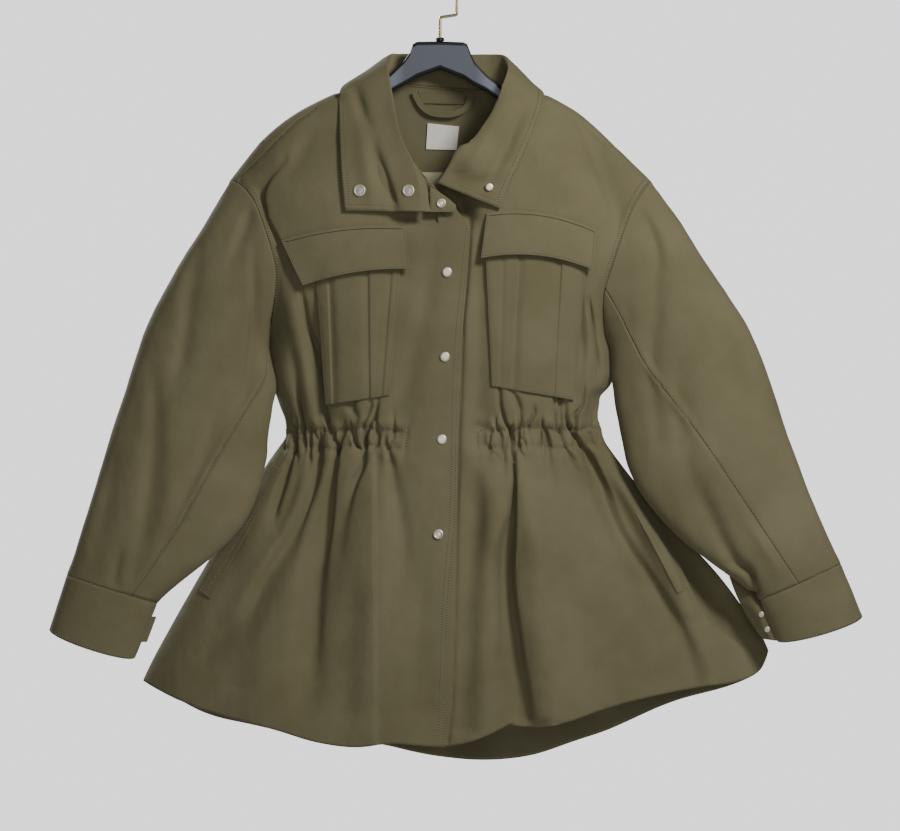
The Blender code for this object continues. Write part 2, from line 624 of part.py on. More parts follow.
def chest_rows(half, columns):
    """From the shoulder and the neck down to the armpit, without the back's second row."""
    top = front_top(half)
    hole = ARMHOLE_FRONT_R if half == "r" else ARMHOLE_FRONT_L
    top_x, top_z = top(1.0)
    beyond = top_x - front_limit(half, top_z)
    limit = front_limit(half, ARMPIT_Z)
    least = turn_range(half, ARMPIT_Z, limit)

    def bottom(u):
        turn = (1 - u) * math.pi / 2 + u * least
        return np.array([float(side_x(half, ARMPIT_Z)) * math.sin(turn), ARMPIT_Z])

    def left(v):
        return along(hole, v)

    def right(v):
        z = top_z + (ARMPIT_Z - top_z) * v
        return np.array([front_limit(half, z) + beyond * (1 - v) ** 2, z])

    rows = []
    for v in np.delete(CHEST_SHARES, 1):
        places = [coons(top, bottom, left, right, u, v) for u in columns]
        points = [(x, float(lapped_y(half, x, z)), z) for x, z in places]
        rows.append(MarkedRow(points, columns))
    return rows


def ruche_columns(half, z):
    """Shares of the crests and troughs of the puckers across one front."""
    ruche = FRONT_RUCHES[0 if half == "r" else 1]
    count = ruche.count * 2 + 1
    limit = front_limit(half, z)
    least = turn_range(half, z, limit)
    side = float(side_x(half, z))
    shares = [0.0, 0.06]
    for k in range(count):
        x = pucker_x(ruche, (k - 1) / 2)
        turn = math.asin(max(-1.0, min(1.0, x / side)))
        share = (math.pi / 2 - turn) / (math.pi / 2 - least)
        if 0.09 < share < 0.93:
            shares.append(share)
    shares.extend([0.5 * (max(shares) + 1.0), 1.0])
    return np.array(sorted(shares))


def waist_rows(half, columns):
    rows = []
    for z in WAIST_ROWS:
        shares = columns if abs(z - WAIST_Z) > FINE_REACH else ruche_columns(half, WAIST_Z)
        least = turn_range(half, z, front_limit(half, z))
        turns = (1 - shares) * math.pi / 2 + shares * least
        x = float(side_x(half, z)) * np.sin(turns)
        y = lapped_y(half, x, z)
        rows.append(MarkedRow([(a, b, z) for a, b in zip(x, y)], shares))
    return rows


def skirt_rows(half, columns):
    top_z = WAIST_ROWS[-1]
    corner = HEM_CORNER_R if half == "r" else HEM_CORNER_L
    hem_side = float(side_x(half, corner))
    hem_least = math.asin(front_limit(half, FRONT_EDGE[-1][1]) / hem_side)
    hem_turns = (1 - columns) * math.pi / 2 + columns * hem_least
    hem_z = smooth(HEM_FRONT, hem_side * np.sin(hem_turns))
    rows = []
    for t in SKIRT_SHARES:
        side_z = top_z + (corner - top_z) * t
        z = top_z + (hem_z - top_z) * t
        least = math.asin(front_limit(half, float(z[-1])) / float(side_x(half, side_z)))
        turns = (1 - columns) * math.pi / 2 + columns * least
        x = float(side_x(half, side_z)) * np.sin(turns)
        y = lapped_y(half, x, z)
        rows.append([(a, b, c) for a, b, c in zip(x, y, z)])
    return rows


def front_columns():
    """On the shoulder seam the front's columns meet the back's, then go on to the edge."""
    shoulder = [(1 - u) / (1 - NECK_SHARE) * NECK_SHARE for u in BACK_COLUMNS[::-1] if u > 0.4]
    return np.array(shoulder + FRONT_NECK)


def front(half):
    chest = front_columns()
    skirt = np.linspace(0.0, 1.0, SKIRT_COLUMNS)
    rows = chest_rows(half, chest) + waist_rows(half, chest) + skirt_rows(half, skirt)
    cloth("front_" + half, draw_back(rows, last=0.0))


def back_chest_rows(columns):
    """The back reaches over the ridge to the shoulder seam."""
    def edge_point(u, v):
        hole = ARMHOLE_BACK_R if u < 0 else ARMHOLE_BACK_L
        return along(hole, v)

    def top(u):
        half = "r" if u < 0 else "l"
        if abs(u) > NECK_SHARE:
            return along(ridge_points(half), (1 - abs(u)) / (1 - NECK_SHARE))
        return along(NECK_BACK, 0.5 + 0.5 * u / NECK_SHARE)

    def bottom(u):
        half = "r" if u < 0 else "l"
        return np.array([float(side_x(half, ARMPIT_Z)) * math.sin(abs(u) * math.pi / 2), ARMPIT_Z])

    rows = []
    for v in CHEST_SHARES:
        row = []
        for u in columns:
            sign = -1.0 if u < 0 else 1.0
            place = (1 - v) * top(u) + v * bottom(u)
            place = place + abs(u) ** 3 * (edge_point(sign, v)
                                          - (1 - v) * top(sign) - v * bottom(sign))
            row.append((place[0], float(back_y(place[0], place[1])), place[1]))
        rows.append(MarkedRow(row, (np.array(columns) + 1) / 2))
    return rows


def shoulder_strip(half, columns, ridge_row):
    """The back's cloth from the shoulder seam, in front, up to its own row on the ridge."""
    seam = shoulder_seam(ridge_points(half), SEAM_DROP)
    picked = [k for k, u in enumerate(columns)
              if abs(u) >= NECK_SHARE and (u < 0) == (half == "r")]
    outward = picked[::-1] if half == "r" else picked
    rows = []
    for share in (1.0, 0.4):
        row, places = [], []
        for k in outward[:-2]:
            x, z = along(seam, (1 - abs(columns[k])) / (1 - NECK_SHARE))
            high = float(ridge_z(x))
            z = high + (z - high) * share * (1 - SEAM_GAP / SEAM_DROP)
            row.append((x, float(front_y(x, z)), z))
            places.append(abs(columns[k]))
        rows.append(MarkedRow(row, places))
    rows.append(MarkedRow([ridge_row[k] for k in outward], [abs(columns[k]) for k in outward]))
    return rows


def back():
    """One piece from the shoulder seams to the hem, in one with the strips over the ridge."""
    columns = np.concatenate([-BACK_COLUMNS[:0:-1], BACK_COLUMNS])
    waist = np.linspace(-1.0, 1.0, BACK_WAIST_COLUMNS)
    skirt = np.linspace(-1.0, 1.0, BACK_SKIRT_COLUMNS)
    rows = back_chest_rows(columns)
    for z in WAIST_ROWS:
        shares = columns if abs(z - WAIST_Z) > FINE_REACH else waist
        side = np.where(shares < 0, side_x("r", z), side_x("l", z))
        x = side * np.sin(np.abs(shares) * math.pi / 2)
        points = [(a, float(back_y(a, z)), z) for a in x]
        rows.append(MarkedRow(points, (shares + 1) / 2))
    top_z = WAIST_ROWS[-1]
    corner = np.where(skirt < 0, HEM_CORNER_R, HEM_CORNER_L)
    reach = np.where(skirt < 0, side_x("r", HEM_CORNER_R), side_x("l", HEM_CORNER_L))
    hem_z = smooth(HEM_BACK, reach * np.sin(np.abs(skirt) * math.pi / 2))
    for t in SKIRT_SHARES:
        side_z = top_z + (corner - top_z) * t
        z = top_z + (hem_z - top_z) * t
        side = np.where(skirt < 0, side_x("r", side_z), side_x("l", side_z))
        x = side * np.sin(np.abs(skirt) * math.pi / 2)
        points = [(a, float(b), c) for a, b, c in zip(x, back_y(x, z), z)]
        rows.append(MarkedRow(points, (skirt + 1) / 2))
    rows = draw_back(rows, top=0.0)
    strips = [shoulder_strip("r", columns, rows[0]), shoulder_strip("l", columns, rows[0])]
    cloth("back", rows, more=strips)


# ---------------------------------------------------------------- sleeves and cuffs
LOW_TURN = 60.0         # degrees from the shoulder's tip over which the armhole is high
FLATNESS = 0.85         # under 1, a ring's sides are squarer than an ellipse's
RING_BLEND = 1.5        # steps down the sleeve until its points are evenly spread
SLEEVE_STEPS = (0.0, 0.3, 0.7, 1.1, 1.6, 2.2, 3.0, 3.8, 4.6, 5.6, 6.6, 7.6, 8.4, 9.2, 10.0)


def sleeve_table(half):
    return SLEEVE_R if half == "r" else SLEEVE_L


def low_share(turn):
    """0 on the upper armhole, 1 at the armpit."""
    t = min(1.0, max(0.0, (turn - LOW_TURN) / LOW_TURN))
    return t * t * (3 - 2 * t)


def armhole_ring(half, turns):
    """The armhole from the shoulder's tip (0) down the front to the armpit (180) and back.

    Low down, where sleeve and body hang side by side, the sleeve starts a little outside.
    """
    outward = -ARMPIT_SIDE if half == "r" else ARMPIT_SIDE
    line_front = ARMHOLE_FRONT_R if half == "r" else ARMHOLE_FRONT_L
    line_back = ARMHOLE_BACK_R if half == "r" else ARMHOLE_BACK_L
    ring = []
    for turn in turns:
        turn = turn % 360.0
        if turn <= 180.0:
            x, z = along(line_front, turn / 180.0)
            ring.append((x + outward * low_share(turn), float(front_y(x, z)), z))
        else:
            x, z = along(line_back, (360.0 - turn) / 180.0)
            ring.append((x + outward * low_share(360.0 - turn), float(back_y(x, z)), z))
    return np.array(ring)


def flat_ring(outer, inner, y, depth, turns, sag=0.0):
    """Flattened ring between an outer and an inner edge, each an (x, z)."""
    turns = np.radians(turns)
    middle = (np.array(outer) + np.array(inner)) / 2
    reach = (np.array(outer) - np.array(inner)) / 2
    across = np.cos(turns)
    out = np.sign(np.sin(turns)) * np.abs(np.sin(turns)) ** FLATNESS
    x = middle[0] + reach[0] * across
    z = middle[1] + reach[1] * across - sag * out
    return np.stack([x, y - depth * out, z], -1)


def sleeve_ring(half, step, turns):
    """Ring of a sleeve at any step: 0 is the armhole, then the table's rows.

    Between them each point runs on a smooth curve through four rings.
    """
    table = sleeve_table(half)
    last = len(table)
    rings = []
    for k in range(int(step) - 1, int(step) + 3):
        k = min(max(k, 0), last)
        if k == 0:
            rings.append(armhole_ring(half, turns))
        else:
            row = table[k - 1]
            outer = (row.outer_x, row.outer_z)
            inner = (row.inner_x, row.inner_z)
            rings.append(flat_ring(outer, inner, row.y, row.depth, turns))
    before, start, stop, after = rings
    t = step - int(step)
    return (start + 0.5 * t * (stop - before)
            + t**2 * (before - 2.5 * start + 2 * stop - 0.5 * after)
            + t**3 * (1.5 * (start - stop) + 0.5 * (after - before)))


def front_seam(half, step):
    """Angle of the front sleeve seam, which starts at one of the body's own rows."""
    first = 180.0 * CHEST_SHARES[-3 if half == "r" else -5]
    rows = [(0.0, first)] + [(k + 1.0, row.seam) for k, row in enumerate(sleeve_table(half))]
    return float(smooth(rows, step))


def ring_turns(half, step, outer_part):
    """Angles of a ring's points: at the armhole those of the body's rows, then even ones."""
    seam = front_seam(half, step)
    back = 360.0 - min(seam, 180.0 * CHEST_SHARES[-3])
    first = front_seam(half, 0.0)
    rows = [180.0 * share for share in CHEST_SHARES if share != CHEST_SHARES[1]]
    if outer_part:
        body = [t for t in rows if t <= first + 0.1]
        body = np.array([-t for t in reversed(body[1:])] + body)
        even = np.linspace(back - 360.0, seam, len(body))
    else:
        body = [t for t in rows if t >= first - 0.1]
        body = np.array(body + [360.0 - t for t in reversed(body[:-1])])
        even = np.linspace(seam, back, len(body))
    blend = min(1.0, step / RING_BLEND)
    return body * (1 - blend) + even * blend


def sleeve(half):
    upper, under = [], []
    for step in SLEEVE_STEPS:
        upper.append(list(sleeve_ring(half, step, ring_turns(half, step, True))))
        under.append(list(sleeve_ring(half, step, ring_turns(half, step, False))))
    gaps = dict(first=SEAM_GAP, last=SEAM_GAP, top=ARMHOLE_GAP, bottom=SEAM_GAP)
    cloth("sleeve_upper_" + half, draw_back(upper, **gaps))
    cloth("sleeve_under_" + half, draw_back(under, **gaps))


CUFF_COLUMNS = 25
CUFF_STEPS = (0.0, 0.35, 0.7, 1.0)      # from the sleeve down
TAB_STEPS = (0.06, 0.35, 0.65, 0.94)
TAB_DEPTH = 1.5         # the underlap's middle behind the cuff's


def cuff_rows(half, steps, turns):
    """The cuff from the sleeve's end (0) to its lower edge (1)."""
    row = sleeve_table(half)[-1]
    cuff_row = CUFF_R if half == "r" else CUFF_L
    top = flat_ring((row.outer_x, row.outer_z), (row.inner_x, row.inner_z), row.y, row.depth, turns)
    low = flat_ring((cuff_row.outer_x, cuff_row.outer_z), (cuff_row.inner_x, cuff_row.inner_z),
                    row.y + CUFF_FLARE, row.depth + CUFF_FLARE, turns, CUFF_SAG)
    return [list(top + (low - top) * t) for t in steps]


def cuff(half):
    cuff_row = CUFF_R if half == "r" else CUFF_L
    turns = np.linspace(cuff_row.start, cuff_row.stop, CUFF_COLUMNS)
    rows = cuff_rows(half, CUFF_STEPS, turns)
    cloth("cuff_" + half, draw_back(rows, first=0.0, last=0.0))
    side = -1.0 if half == "l" else 1.0
    edge = [row[0] for row in cuff_rows(half, TAB_STEPS, np.array([float(cuff_row.stop)]))]
    tab = [[point + np.array([side * reach, TAB_DEPTH + TAB_SLOPE * reach, 0.0])
            for reach in (-1.0, TAB_REACH / 2, TAB_REACH)] for point in edge]
    cloth("cuff_tab_" + half, tab)


# ---------------------------------------------------------------- collar and turned-out corner
ROLL_REACH = 3.2        # half the bend of the roll, along the cloth
ROLL_RISE = 0.6         # its crown above the roll line
FALL_SHARES = (0.2, 0.45, 0.72, 1.0)
COLLAR_SEAM = 0.6       # the collar's edge drawn back from the neck seam
BEHIND_Y = 20.0         # a roll line behind this belongs to the back neck
NECK_SEAT_R = 1.0       # the collar's seam on front_r, off the cloth


def on_body(x, z, lift):
    """Depth of something that stands a lift in front of the fronts."""
    return float(front_y(x, z)) - lift


def clear_of_body(point):
    """Push a point of the collar's fall out to where it clears the cloth below."""
    x, y, z = point
    if z > ridge_z(x) + COLLAR_LIFT:
        return point
    if y <= 0:
        felt = min(made_surface(node)(x, z) for node in ("front_r", "front_l"))
        return np.array([x, min(y, felt - COLLAR_LIFT), z])
    return np.array([x, max(y, float(back_y(x, z)) + COLLAR_LIFT), z])


def collar_section(station, half):
    """Points across the collar: up the stand, over the roll and down the fall."""
    ny = station.ny
    if ny is None and station.ry > BEHIND_Y:
        ny = float(back_y(station.nx, station.nz))
    elif ny is None:
        seat = NECK_SEAT_R if half == "r" else 0.0
        ny = float(lapped_y(half, station.nx, station.nz)) - seat
    ey = on_body(station.ex, station.ez, COLLAR_LIFT) if station.ey is None else station.ey
    neck = np.array([station.nx, ny, station.nz])
    roll = np.array([station.rx, station.ry, station.rz])
    edge = np.array([station.ex, ey, station.ez])

    def towards(start, stop, reach):
        run = stop - start
        return start + run * min(reach / np.linalg.norm(run), 0.5)

    stand = [neck, (neck + roll) / 2, towards(roll, neck, ROLL_REACH)]
    fall = [towards(roll, edge, ROLL_REACH)] + [roll + (edge - roll) * t for t in FALL_SHARES]
    crown = roll + np.array([0, 0, ROLL_RISE])
    return stand + [crown] + [clear_of_body(point) for point in fall]


def collar():
    sections = [collar_section(s, "r") for s in COLLAR_R]
    sections.append(collar_section(COLLAR_BACK, "r"))
    sections.extend(collar_section(s, "l") for s in reversed(COLLAR_L))
    cloth("collar", draw_back(sections, first=COLLAR_SEAM, last=0.0, top=0.0))


def facing_corner():
    """The end of front_r's facing, folded out over its neck edge."""
    rows = []
    for share in np.linspace(0.0, CORNER_SHOWN, 5):
        fold = along(CORNER_FOLD, share)
        edge = along(CORNER_EDGE, share)
        row = []
        for t in (0.0, CORNER_BEND, 1.0):
            x, z = fold + (edge - fold) * t
            lift = FOLD_LIFT + (CORNER_LIFT - FOLD_LIFT) * min(1.0, t / CORNER_BEND)
            row.append((x, on_body(x, z, lift), z))
        rows.append(row)
    cloth("facing_corner_r", rows)


# ---------------------------------------------------------------- what lies on the panels
OUTSIDE_Y = -1000.0     # where a look at the coat starts: in front of it, or inside its neck
INSIDE_Y = 12.0


def made_surface(node, reach=REACH, start_y=OUTSIDE_Y):
    """Depth of a made panel's middle, where it comes nearest within a small reach."""
    def depth(x, z):
        found = []
        for dx, dz in ((0, 0), (reach, 0), (-reach, 0), (0, reach), (0, -reach)):
            start = Vector((x + dx, start_y, z + dz)) * MM
            hit = surfaces[node].ray_cast(start, Vector((0, 1, 0)))[0]
            if hit is not None:
                found.append(hit.y / MM)
        return min(found) + WALL / 2 if found else front_y(x, z)

    return depth


def patch_rows(patch, across, down, surface, lift):
    """Points of a panel inside four corners, moved to the front by lift(across, down)."""
    corner = [np.array(p, float) for p in patch[:4]]
    rows = []
    for v in down:
        row = []
        for u in across:
            top = corner[0] + (corner[1] - corner[0]) * u
            low = corner[3] + (corner[2] - corner[3]) * u
            top = top + np.array([0.0, patch.top_arch * 4 * u * (1 - u)])
            low = low + np.array([0.0, patch.low_arch * 4 * u * (1 - u)])
            x, z = top + (low - top) * v
            row.append((x, float(surface(x, z)) - lift(u, v), z))
        rows.append(row)
    return rows


def pocket(half):
    start, stop = PLEAT_R if half == "r" else PLEAT_L
    across = (0.0, 0.05, start - PLEAT_STEP, start + PLEAT_STEP, (start + stop) / 2,
              stop - PLEAT_STEP, stop + PLEAT_STEP, 0.95, 1.0)
    down = [row.down for row in POCKET_SWELL]
    shares = [row.share for row in POCKET_SWELL]

    def lift(u, v):
        return PATCH_LIFT + np.interp(u, across, POCKET_RISE) * np.interp(v, down, shares)

    patch = POCKET_R if half == "r" else POCKET_L
    rows = patch_rows(patch, across, down, made_surface("front_" + half), lift)
    cloth("pocket_" + half, rows)


def flap(half):
    def lift(u, v):
        return PATCH_LIFT + FLAP_RISE * v**0.8 * (0.8 + 0.2 * math.sin(math.pi * u))

    patch = FLAP_R if half == "r" else FLAP_L
    rows = patch_rows(patch, np.linspace(0, 1, 9), np.linspace(0, 1, 5),
                      made_surface("front_" + half), lift)
    cloth("flap_" + half, rows)


WELT_ROWS = 19          # enough for it to follow the folds under it


def welt(half):
    patch = WELT_R if half == "r" else WELT_L
    rows = patch_rows(patch, (0.0, 0.5, 1.0), np.linspace(0, 1, WELT_ROWS),
                      made_surface("front_" + half, WELT_REACH), lambda u, v: WELT_LIFT[half])
    cloth("welt_" + half, rows)


def neck_pieces():
    """What lies on the inside of the back."""
    inner = made_surface("back", NECK_REACH, INSIDE_Y)
    down = (0.0, 0.5, 1.0)

    def neck_lift(u, v):
        return NECK_LIFT

    cloth("loop_patch", patch_rows(LOOP_PATCH, np.linspace(0, 1, 5), down, inner, neck_lift))
    cloth("label", patch_rows(LABEL, np.linspace(0, 1, 4), down, inner, lambda u, v: LABEL_LIFT),
          CREAM, LABEL_WALL)
    cloth("back_lining", patch_rows(BACK_LINING, np.linspace(0, 1, 4), down, inner, neck_lift),
          PALE_OLIVE)
    shares = np.linspace(0.0, 1.0, LOOP_POINTS)
    line = along(LOOP_LINE, shares)
    heading = np.gradient(line, axis=0)
    heading = heading / np.linalg.norm(heading, axis=1)[:, None]
    sideways = np.stack([-heading[:, 1], heading[:, 0]], -1)
    rows = []
    for offset in (LOOP_WIDTH / 2, 0.0, -LOOP_WIDTH / 2):
        row = []
        for share, (x, z) in zip(shares, line + sideways * offset):
            stand = LOOP_STAND + LOOP_BOW * math.sin(math.pi * share)
            row.append((x, inner(x, z) - stand, z))
        rows.append(row)
    cloth("hang_loop", rows)


# ---------------------------------------------------------------- snaps
def turned(name, profile, sides, colour, roughness, metallic=0.0):
    """A profile of radius and height, from its top down, turned about Z."""
    mesh = bpy.data.meshes.new(name)
    links = [(i, i + 1) for i in range(len(profile) - 1)]
    mesh.from_pydata([(r * MM, 0.0, z * MM) for r, z in profile], links, [])
    part = make_object(name, mesh, colour, roughness, metallic)
    turn = part.modifiers.new("turned", "SCREW")
    turn.steps = turn.render_steps = sides
    turn.use_merge_vertices = True
    turn.merge_threshold = 0.001 * MM
    return part


def snap(spec):
    """A snap, seated on the cloth and square to it."""
    profile = CAP_PROFILE if spec.kind == "cap" else SOCKET_PROFILE
    profile = [(r * spec.radius, h) for r, h in profile]
    part = turned(spec.name, profile, SNAP_SIDES, NICKEL, roughness=0.25, metallic=1.0)
    start = Vector((spec.x, OUTSIDE_Y, spec.z)) * MM
    hit, normal, _, _ = surfaces[spec.carrier].ray_cast(start, Vector((0, 1, 0)))
    if normal.y > 0:
        normal = -normal
    part.location = hit + normal * SNAP_SEAT * MM
    part.rotation_euler = normal.to_track_quat("Z", "Y").to_euler()


# ---------------------------------------------------------------- hanger
def bar_ring(bar):
    """Section of the hanger, a rectangle with rounded corners."""
    high = (bar.top - bar.bottom) / 2
    middle = (bar.top + bar.bottom) / 2
    soft = min(HANGER_ROUND, bar.half * 0.7, high * 0.7)
    cut = soft * 0.3
    ring = []
    for sy, sz in ((1, 1), (-1, 1), (-1, -1), (1, -1)):
        corner = [(bar.half, high - soft), (bar.half - cut, high - cut), (bar.half - soft, high)]
        if sy * sz < 0:
            corner.reverse()
        ring.extend((bar.x, sy * y, middle + sz * z) for y, z in corner)
    return ring


def hanger():
    """The body, lofted through its sections, the hook's bent wire, and the washer between."""
    bm = bmesh.new()
    made = [[bm.verts.new(Vector(p) * MM) for p in bar_ring(bar)] for bar in HANGER]
    for a, b in zip(made, made[1:]):
        for k in range(len(a)):
            n = (k + 1) % len(a)
            bm.faces.new((a[k], a[n], b[n], b[k]))
    bm.faces.new(made[0])
    bm.faces.new(made[-1])
    bmesh.ops.recalc_face_normals(bm, faces=bm.faces)
    mesh = bpy.data.meshes.new("hanger_body")
    bm.to_mesh(mesh)
    bm.free()
    make_object("hanger_body", mesh, SLATE, roughness=0.35)

    curve = bpy.data.curves.new("hanger_hook", "CURVE")
    curve.dimensions = "3D"
    curve.bevel_depth = HOOK_WIRE / 2 * MM
    curve.bevel_resolution = 2
    curve.use_fill_caps = True
    spline = curve.splines.new("POLY")
    spline.points.add(len(HOOK) - 1)
    for point, (x, z) in zip(spline.points, HOOK):
        point.co = (x * MM, 0.0, z * MM, 1.0)
    make_object("hanger_hook", curve, CHAMPAGNE, roughness=0.3, metallic=1.0)

    turned("hanger_ferrule", FERRULE, FERRULE_SIDES, BLACK, roughness=0.4)


# ---------------------------------------------------------------- start
surfaces = {}
for old in list(bpy.data.objects):
    bpy.data.objects.remove(old, do_unlink=True)
coat = bpy.data.collections.new("utility_coat_on_hanger")
bpy.context.scene.collection.children.link(coat)

hanger()
back()
for half in ("r", "l"):
    front(half)
    sleeve(half)
    cuff(half)
    pocket(half)
    flap(half)
    welt(half)
collar()
facing_corner()
neck_pieces()
for spec in SNAPS:
    snap(spec)
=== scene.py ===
# %% [markdown]
# # A short utility coat on its hanger
# The imported CAD solids give every sewn piece its place and its main form. Here each of them gets
# the cloth that a camera sees: a finer sheet with its folds, closed seams, the stitching, the
# snaps and the washed olive cotton. A cloth simulation could hang the coat, but it would not give
# the folds of this one, so they are listed one by one. The last cells set the light and the camera.

# %% The frame
import math
from collections import namedtuple

import bmesh
import bpy
import numpy as np
from mathutils import Matrix, Vector, noise
from mathutils.bvhtree import BVHTree
from mathutils.kdtree import KDTree


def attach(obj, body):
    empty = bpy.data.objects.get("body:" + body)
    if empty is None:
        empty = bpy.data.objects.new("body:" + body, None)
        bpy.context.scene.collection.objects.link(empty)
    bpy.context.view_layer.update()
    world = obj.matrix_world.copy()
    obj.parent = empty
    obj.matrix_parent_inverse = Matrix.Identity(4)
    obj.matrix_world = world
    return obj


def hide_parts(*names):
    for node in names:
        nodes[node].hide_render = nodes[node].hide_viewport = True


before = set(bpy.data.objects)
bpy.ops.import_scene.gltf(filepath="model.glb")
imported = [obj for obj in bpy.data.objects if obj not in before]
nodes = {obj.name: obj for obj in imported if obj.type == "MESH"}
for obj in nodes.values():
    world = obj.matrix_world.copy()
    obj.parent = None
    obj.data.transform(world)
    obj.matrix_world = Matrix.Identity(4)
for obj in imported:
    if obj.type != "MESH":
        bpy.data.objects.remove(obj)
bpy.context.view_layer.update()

MM = 0.001
print(len(nodes), "solids in the frame")

# %% [markdown]
# ## Colours and materials
# Colours are written as on a screen and turned into linear light by one function. Each material
# is named for what the real one is.

# %% Colour
OLIVE = "#787256"
OLIVE_DARK = "#6c664a"
THREAD = "#979173"
# painted shade: the colour of the shade in needle holes and seam ditches
HOLE_SHADE = "#37331f"
LINING = "#dcd8b2"
LINING_DARK = "#ccc8a0"
LABEL = "#fffaee"
LABEL_DARK = "#f7f1e2"
HANGER = "#838997"
# painted shade of the hanger's rounded rim
HANGER_RIM_SHADE = "#1b1c21"
BLACK = "#101114"
CHAMPAGNE = "#e0cf9a"
NICKEL = "#e2d9c9"
FLOOR = "#dcdcdd"


def linear(screen):
    """A screen colour such as '#808080' as linear RGBA."""
    parts = [int(screen[i:i + 2], 16) / 255 for i in (1, 3, 5)]
    return tuple(c / 12.92 if c <= 0.04045 else ((c + 0.055) / 1.055) ** 2.4 for c in parts) + (1.0,)


def new_material(name):
    material = bpy.data.materials.new(name)
    material.use_nodes = True
    return material, material.node_tree, material.node_tree.nodes["Principled BSDF"]


def add(tree, kind, inputs=None, links=(), **settings):
    """One node with its settings, the values of its inputs, and links (input, node, output)."""
    node = tree.nodes.new(kind)
    for name, value in settings.items():
        setattr(node, name, value)
    for name, value in (inputs or {}).items():
        node.inputs[name].default_value = value
    for name, source, output in links:
        tree.links.new(source.outputs[output], node.inputs[name])
    return node


# %% [markdown]
# Washed cotton twill is matt. Its diagonal ridges are about 0.8 mm apart, which is finer than a
# pixel of the picture, so they are drawn 1.6 mm apart. Washing leaves slow clouds of tone and a
# fine crumple, and the raised fibres give a faint sheen at grazing light. A photographed texture
# could give this too, but noise and a wave in the piece's own coordinates need no picture and
# have no seams.

# %% Cloth material
WAVE_PERIOD = 0.363      # metres between the bands of a diagonal wave of scale 1
CLOUDS = 11.0            # a scale of 11 to the metre makes clouds 90 mm across
FIBRES = 900.0           # and this makes flecks of 1.1 mm, two or three yarns
CRUMPLES = 90.0          # and this a crumple of 11 mm
RIDGE_RELIEF = 0.25      # height of a twill ridge, mm
CRUMPLE_RELIEF = 1.5     # height of a crumple, mm


def woven(name, light, dark, ridge_mm, relief, sheen, crumple=0.25):
    material, tree, shader = new_material(name)
    where = add(tree, "ShaderNodeTexCoord")
    place = [("Vector", where, "Object")]
    cloud = add(tree, "ShaderNodeTexNoise", {"Scale": CLOUDS, "Detail": 3.0, "Roughness": 0.6}, place)
    fibre = add(tree, "ShaderNodeTexNoise", {"Scale": FIBRES, "Detail": 2.0}, place)
    both = add(tree, "ShaderNodeMath", {1: 0.25}, [(0, fibre, "Fac"), (2, cloud, "Fac")],
               operation="MULTIPLY_ADD")
    tone = add(tree, "ShaderNodeValToRGB", links=[("Fac", both, "Value")])
    tone.color_ramp.elements[0].position = 0.42
    tone.color_ramp.elements[1].position = 0.82
    tone.color_ramp.elements[0].color = linear(dark)
    tone.color_ramp.elements[1].color = linear(light)
    tree.links.new(tone.outputs["Color"], shader.inputs["Base Color"])
    twill = add(tree, "ShaderNodeTexWave", {"Scale": WAVE_PERIOD / (ridge_mm * MM), "Distortion": 0.4,
                                            "Detail": 1.0}, place, bands_direction="DIAGONAL")
    soft = add(tree, "ShaderNodeTexNoise", {"Scale": CRUMPLES, "Detail": 3.0, "Roughness": 0.5}, place)
    ridges = add(tree, "ShaderNodeBump", {"Strength": relief, "Distance": RIDGE_RELIEF * MM},
                 [("Height", twill, "Fac")])
    crumpled = add(tree, "ShaderNodeBump", {"Strength": crumple, "Distance": CRUMPLE_RELIEF * MM},
                   [("Height", soft, "Fac"), ("Normal", ridges, "Normal")])
    tree.links.new(crumpled.outputs["Normal"], shader.inputs["Normal"])
    shader.inputs["Roughness"].default_value = 0.85
    shader.inputs["Specular IOR Level"].default_value = 0.2
    shader.inputs["Sheen Weight"].default_value = sheen
    shader.inputs["Sheen Roughness"].default_value = 0.45
    return material


# Cotton twill, piece-dyed olive and washed
shell_cloth = woven("washed cotton twill", OLIVE, OLIVE_DARK, 1.6, 0.2, 0.1, 0.4)
# Viscose twill of the lining, smoother and paler
lining_cloth = woven("viscose lining twill", LINING, LINING_DARK, 1.0, 0.15, 0.05, 0.1)
# Damask label tape, a tight satin of polyester, unmarked
label_tape = woven("woven polyester label tape", LABEL, LABEL_DARK, 0.8, 0.2, 0.0, 0.05)

# %% [markdown]
# Thread, snaps and the hanger have smoother surfaces. The snaps are nickel-plated brass, brushed by
# wear, and lie between metal and the dirt on it. The hanger is moulded, with matt flat faces; its
# rounded rim is painted darker, as painted shade where the rim turns from the light. One function
# serves them all, because they differ only in colour, gloss and grain.

# %% Hard materials
GRAIN_RELIEF = 0.1       # height of the grain on a hard surface, mm


def worn(name, colour, roughness, metallic=0.0, grain=300.0, change=0.08, relief=0.05):
    """A plain colour whose gloss changes a little over the surface."""
    material, tree, shader = new_material(name)
    shader.inputs["Base Color"].default_value = linear(colour)
    shader.inputs["Metallic"].default_value = metallic
    where = add(tree, "ShaderNodeTexCoord")
    spots = add(tree, "ShaderNodeTexNoise", {"Scale": grain, "Detail": 2.0},
                [("Vector", where, "Object")])
    gloss = add(tree, "ShaderNodeMath", {1: change, 2: roughness - change / 2}, [(0, spots, "Fac")],
                operation="MULTIPLY_ADD")
    bump = add(tree, "ShaderNodeBump", {"Strength": relief, "Distance": GRAIN_RELIEF * MM},
               [("Height", spots, "Fac")])
    tree.links.new(gloss.outputs["Value"], shader.inputs["Roughness"])
    tree.links.new(bump.outputs["Normal"], shader.inputs["Normal"])
    return material


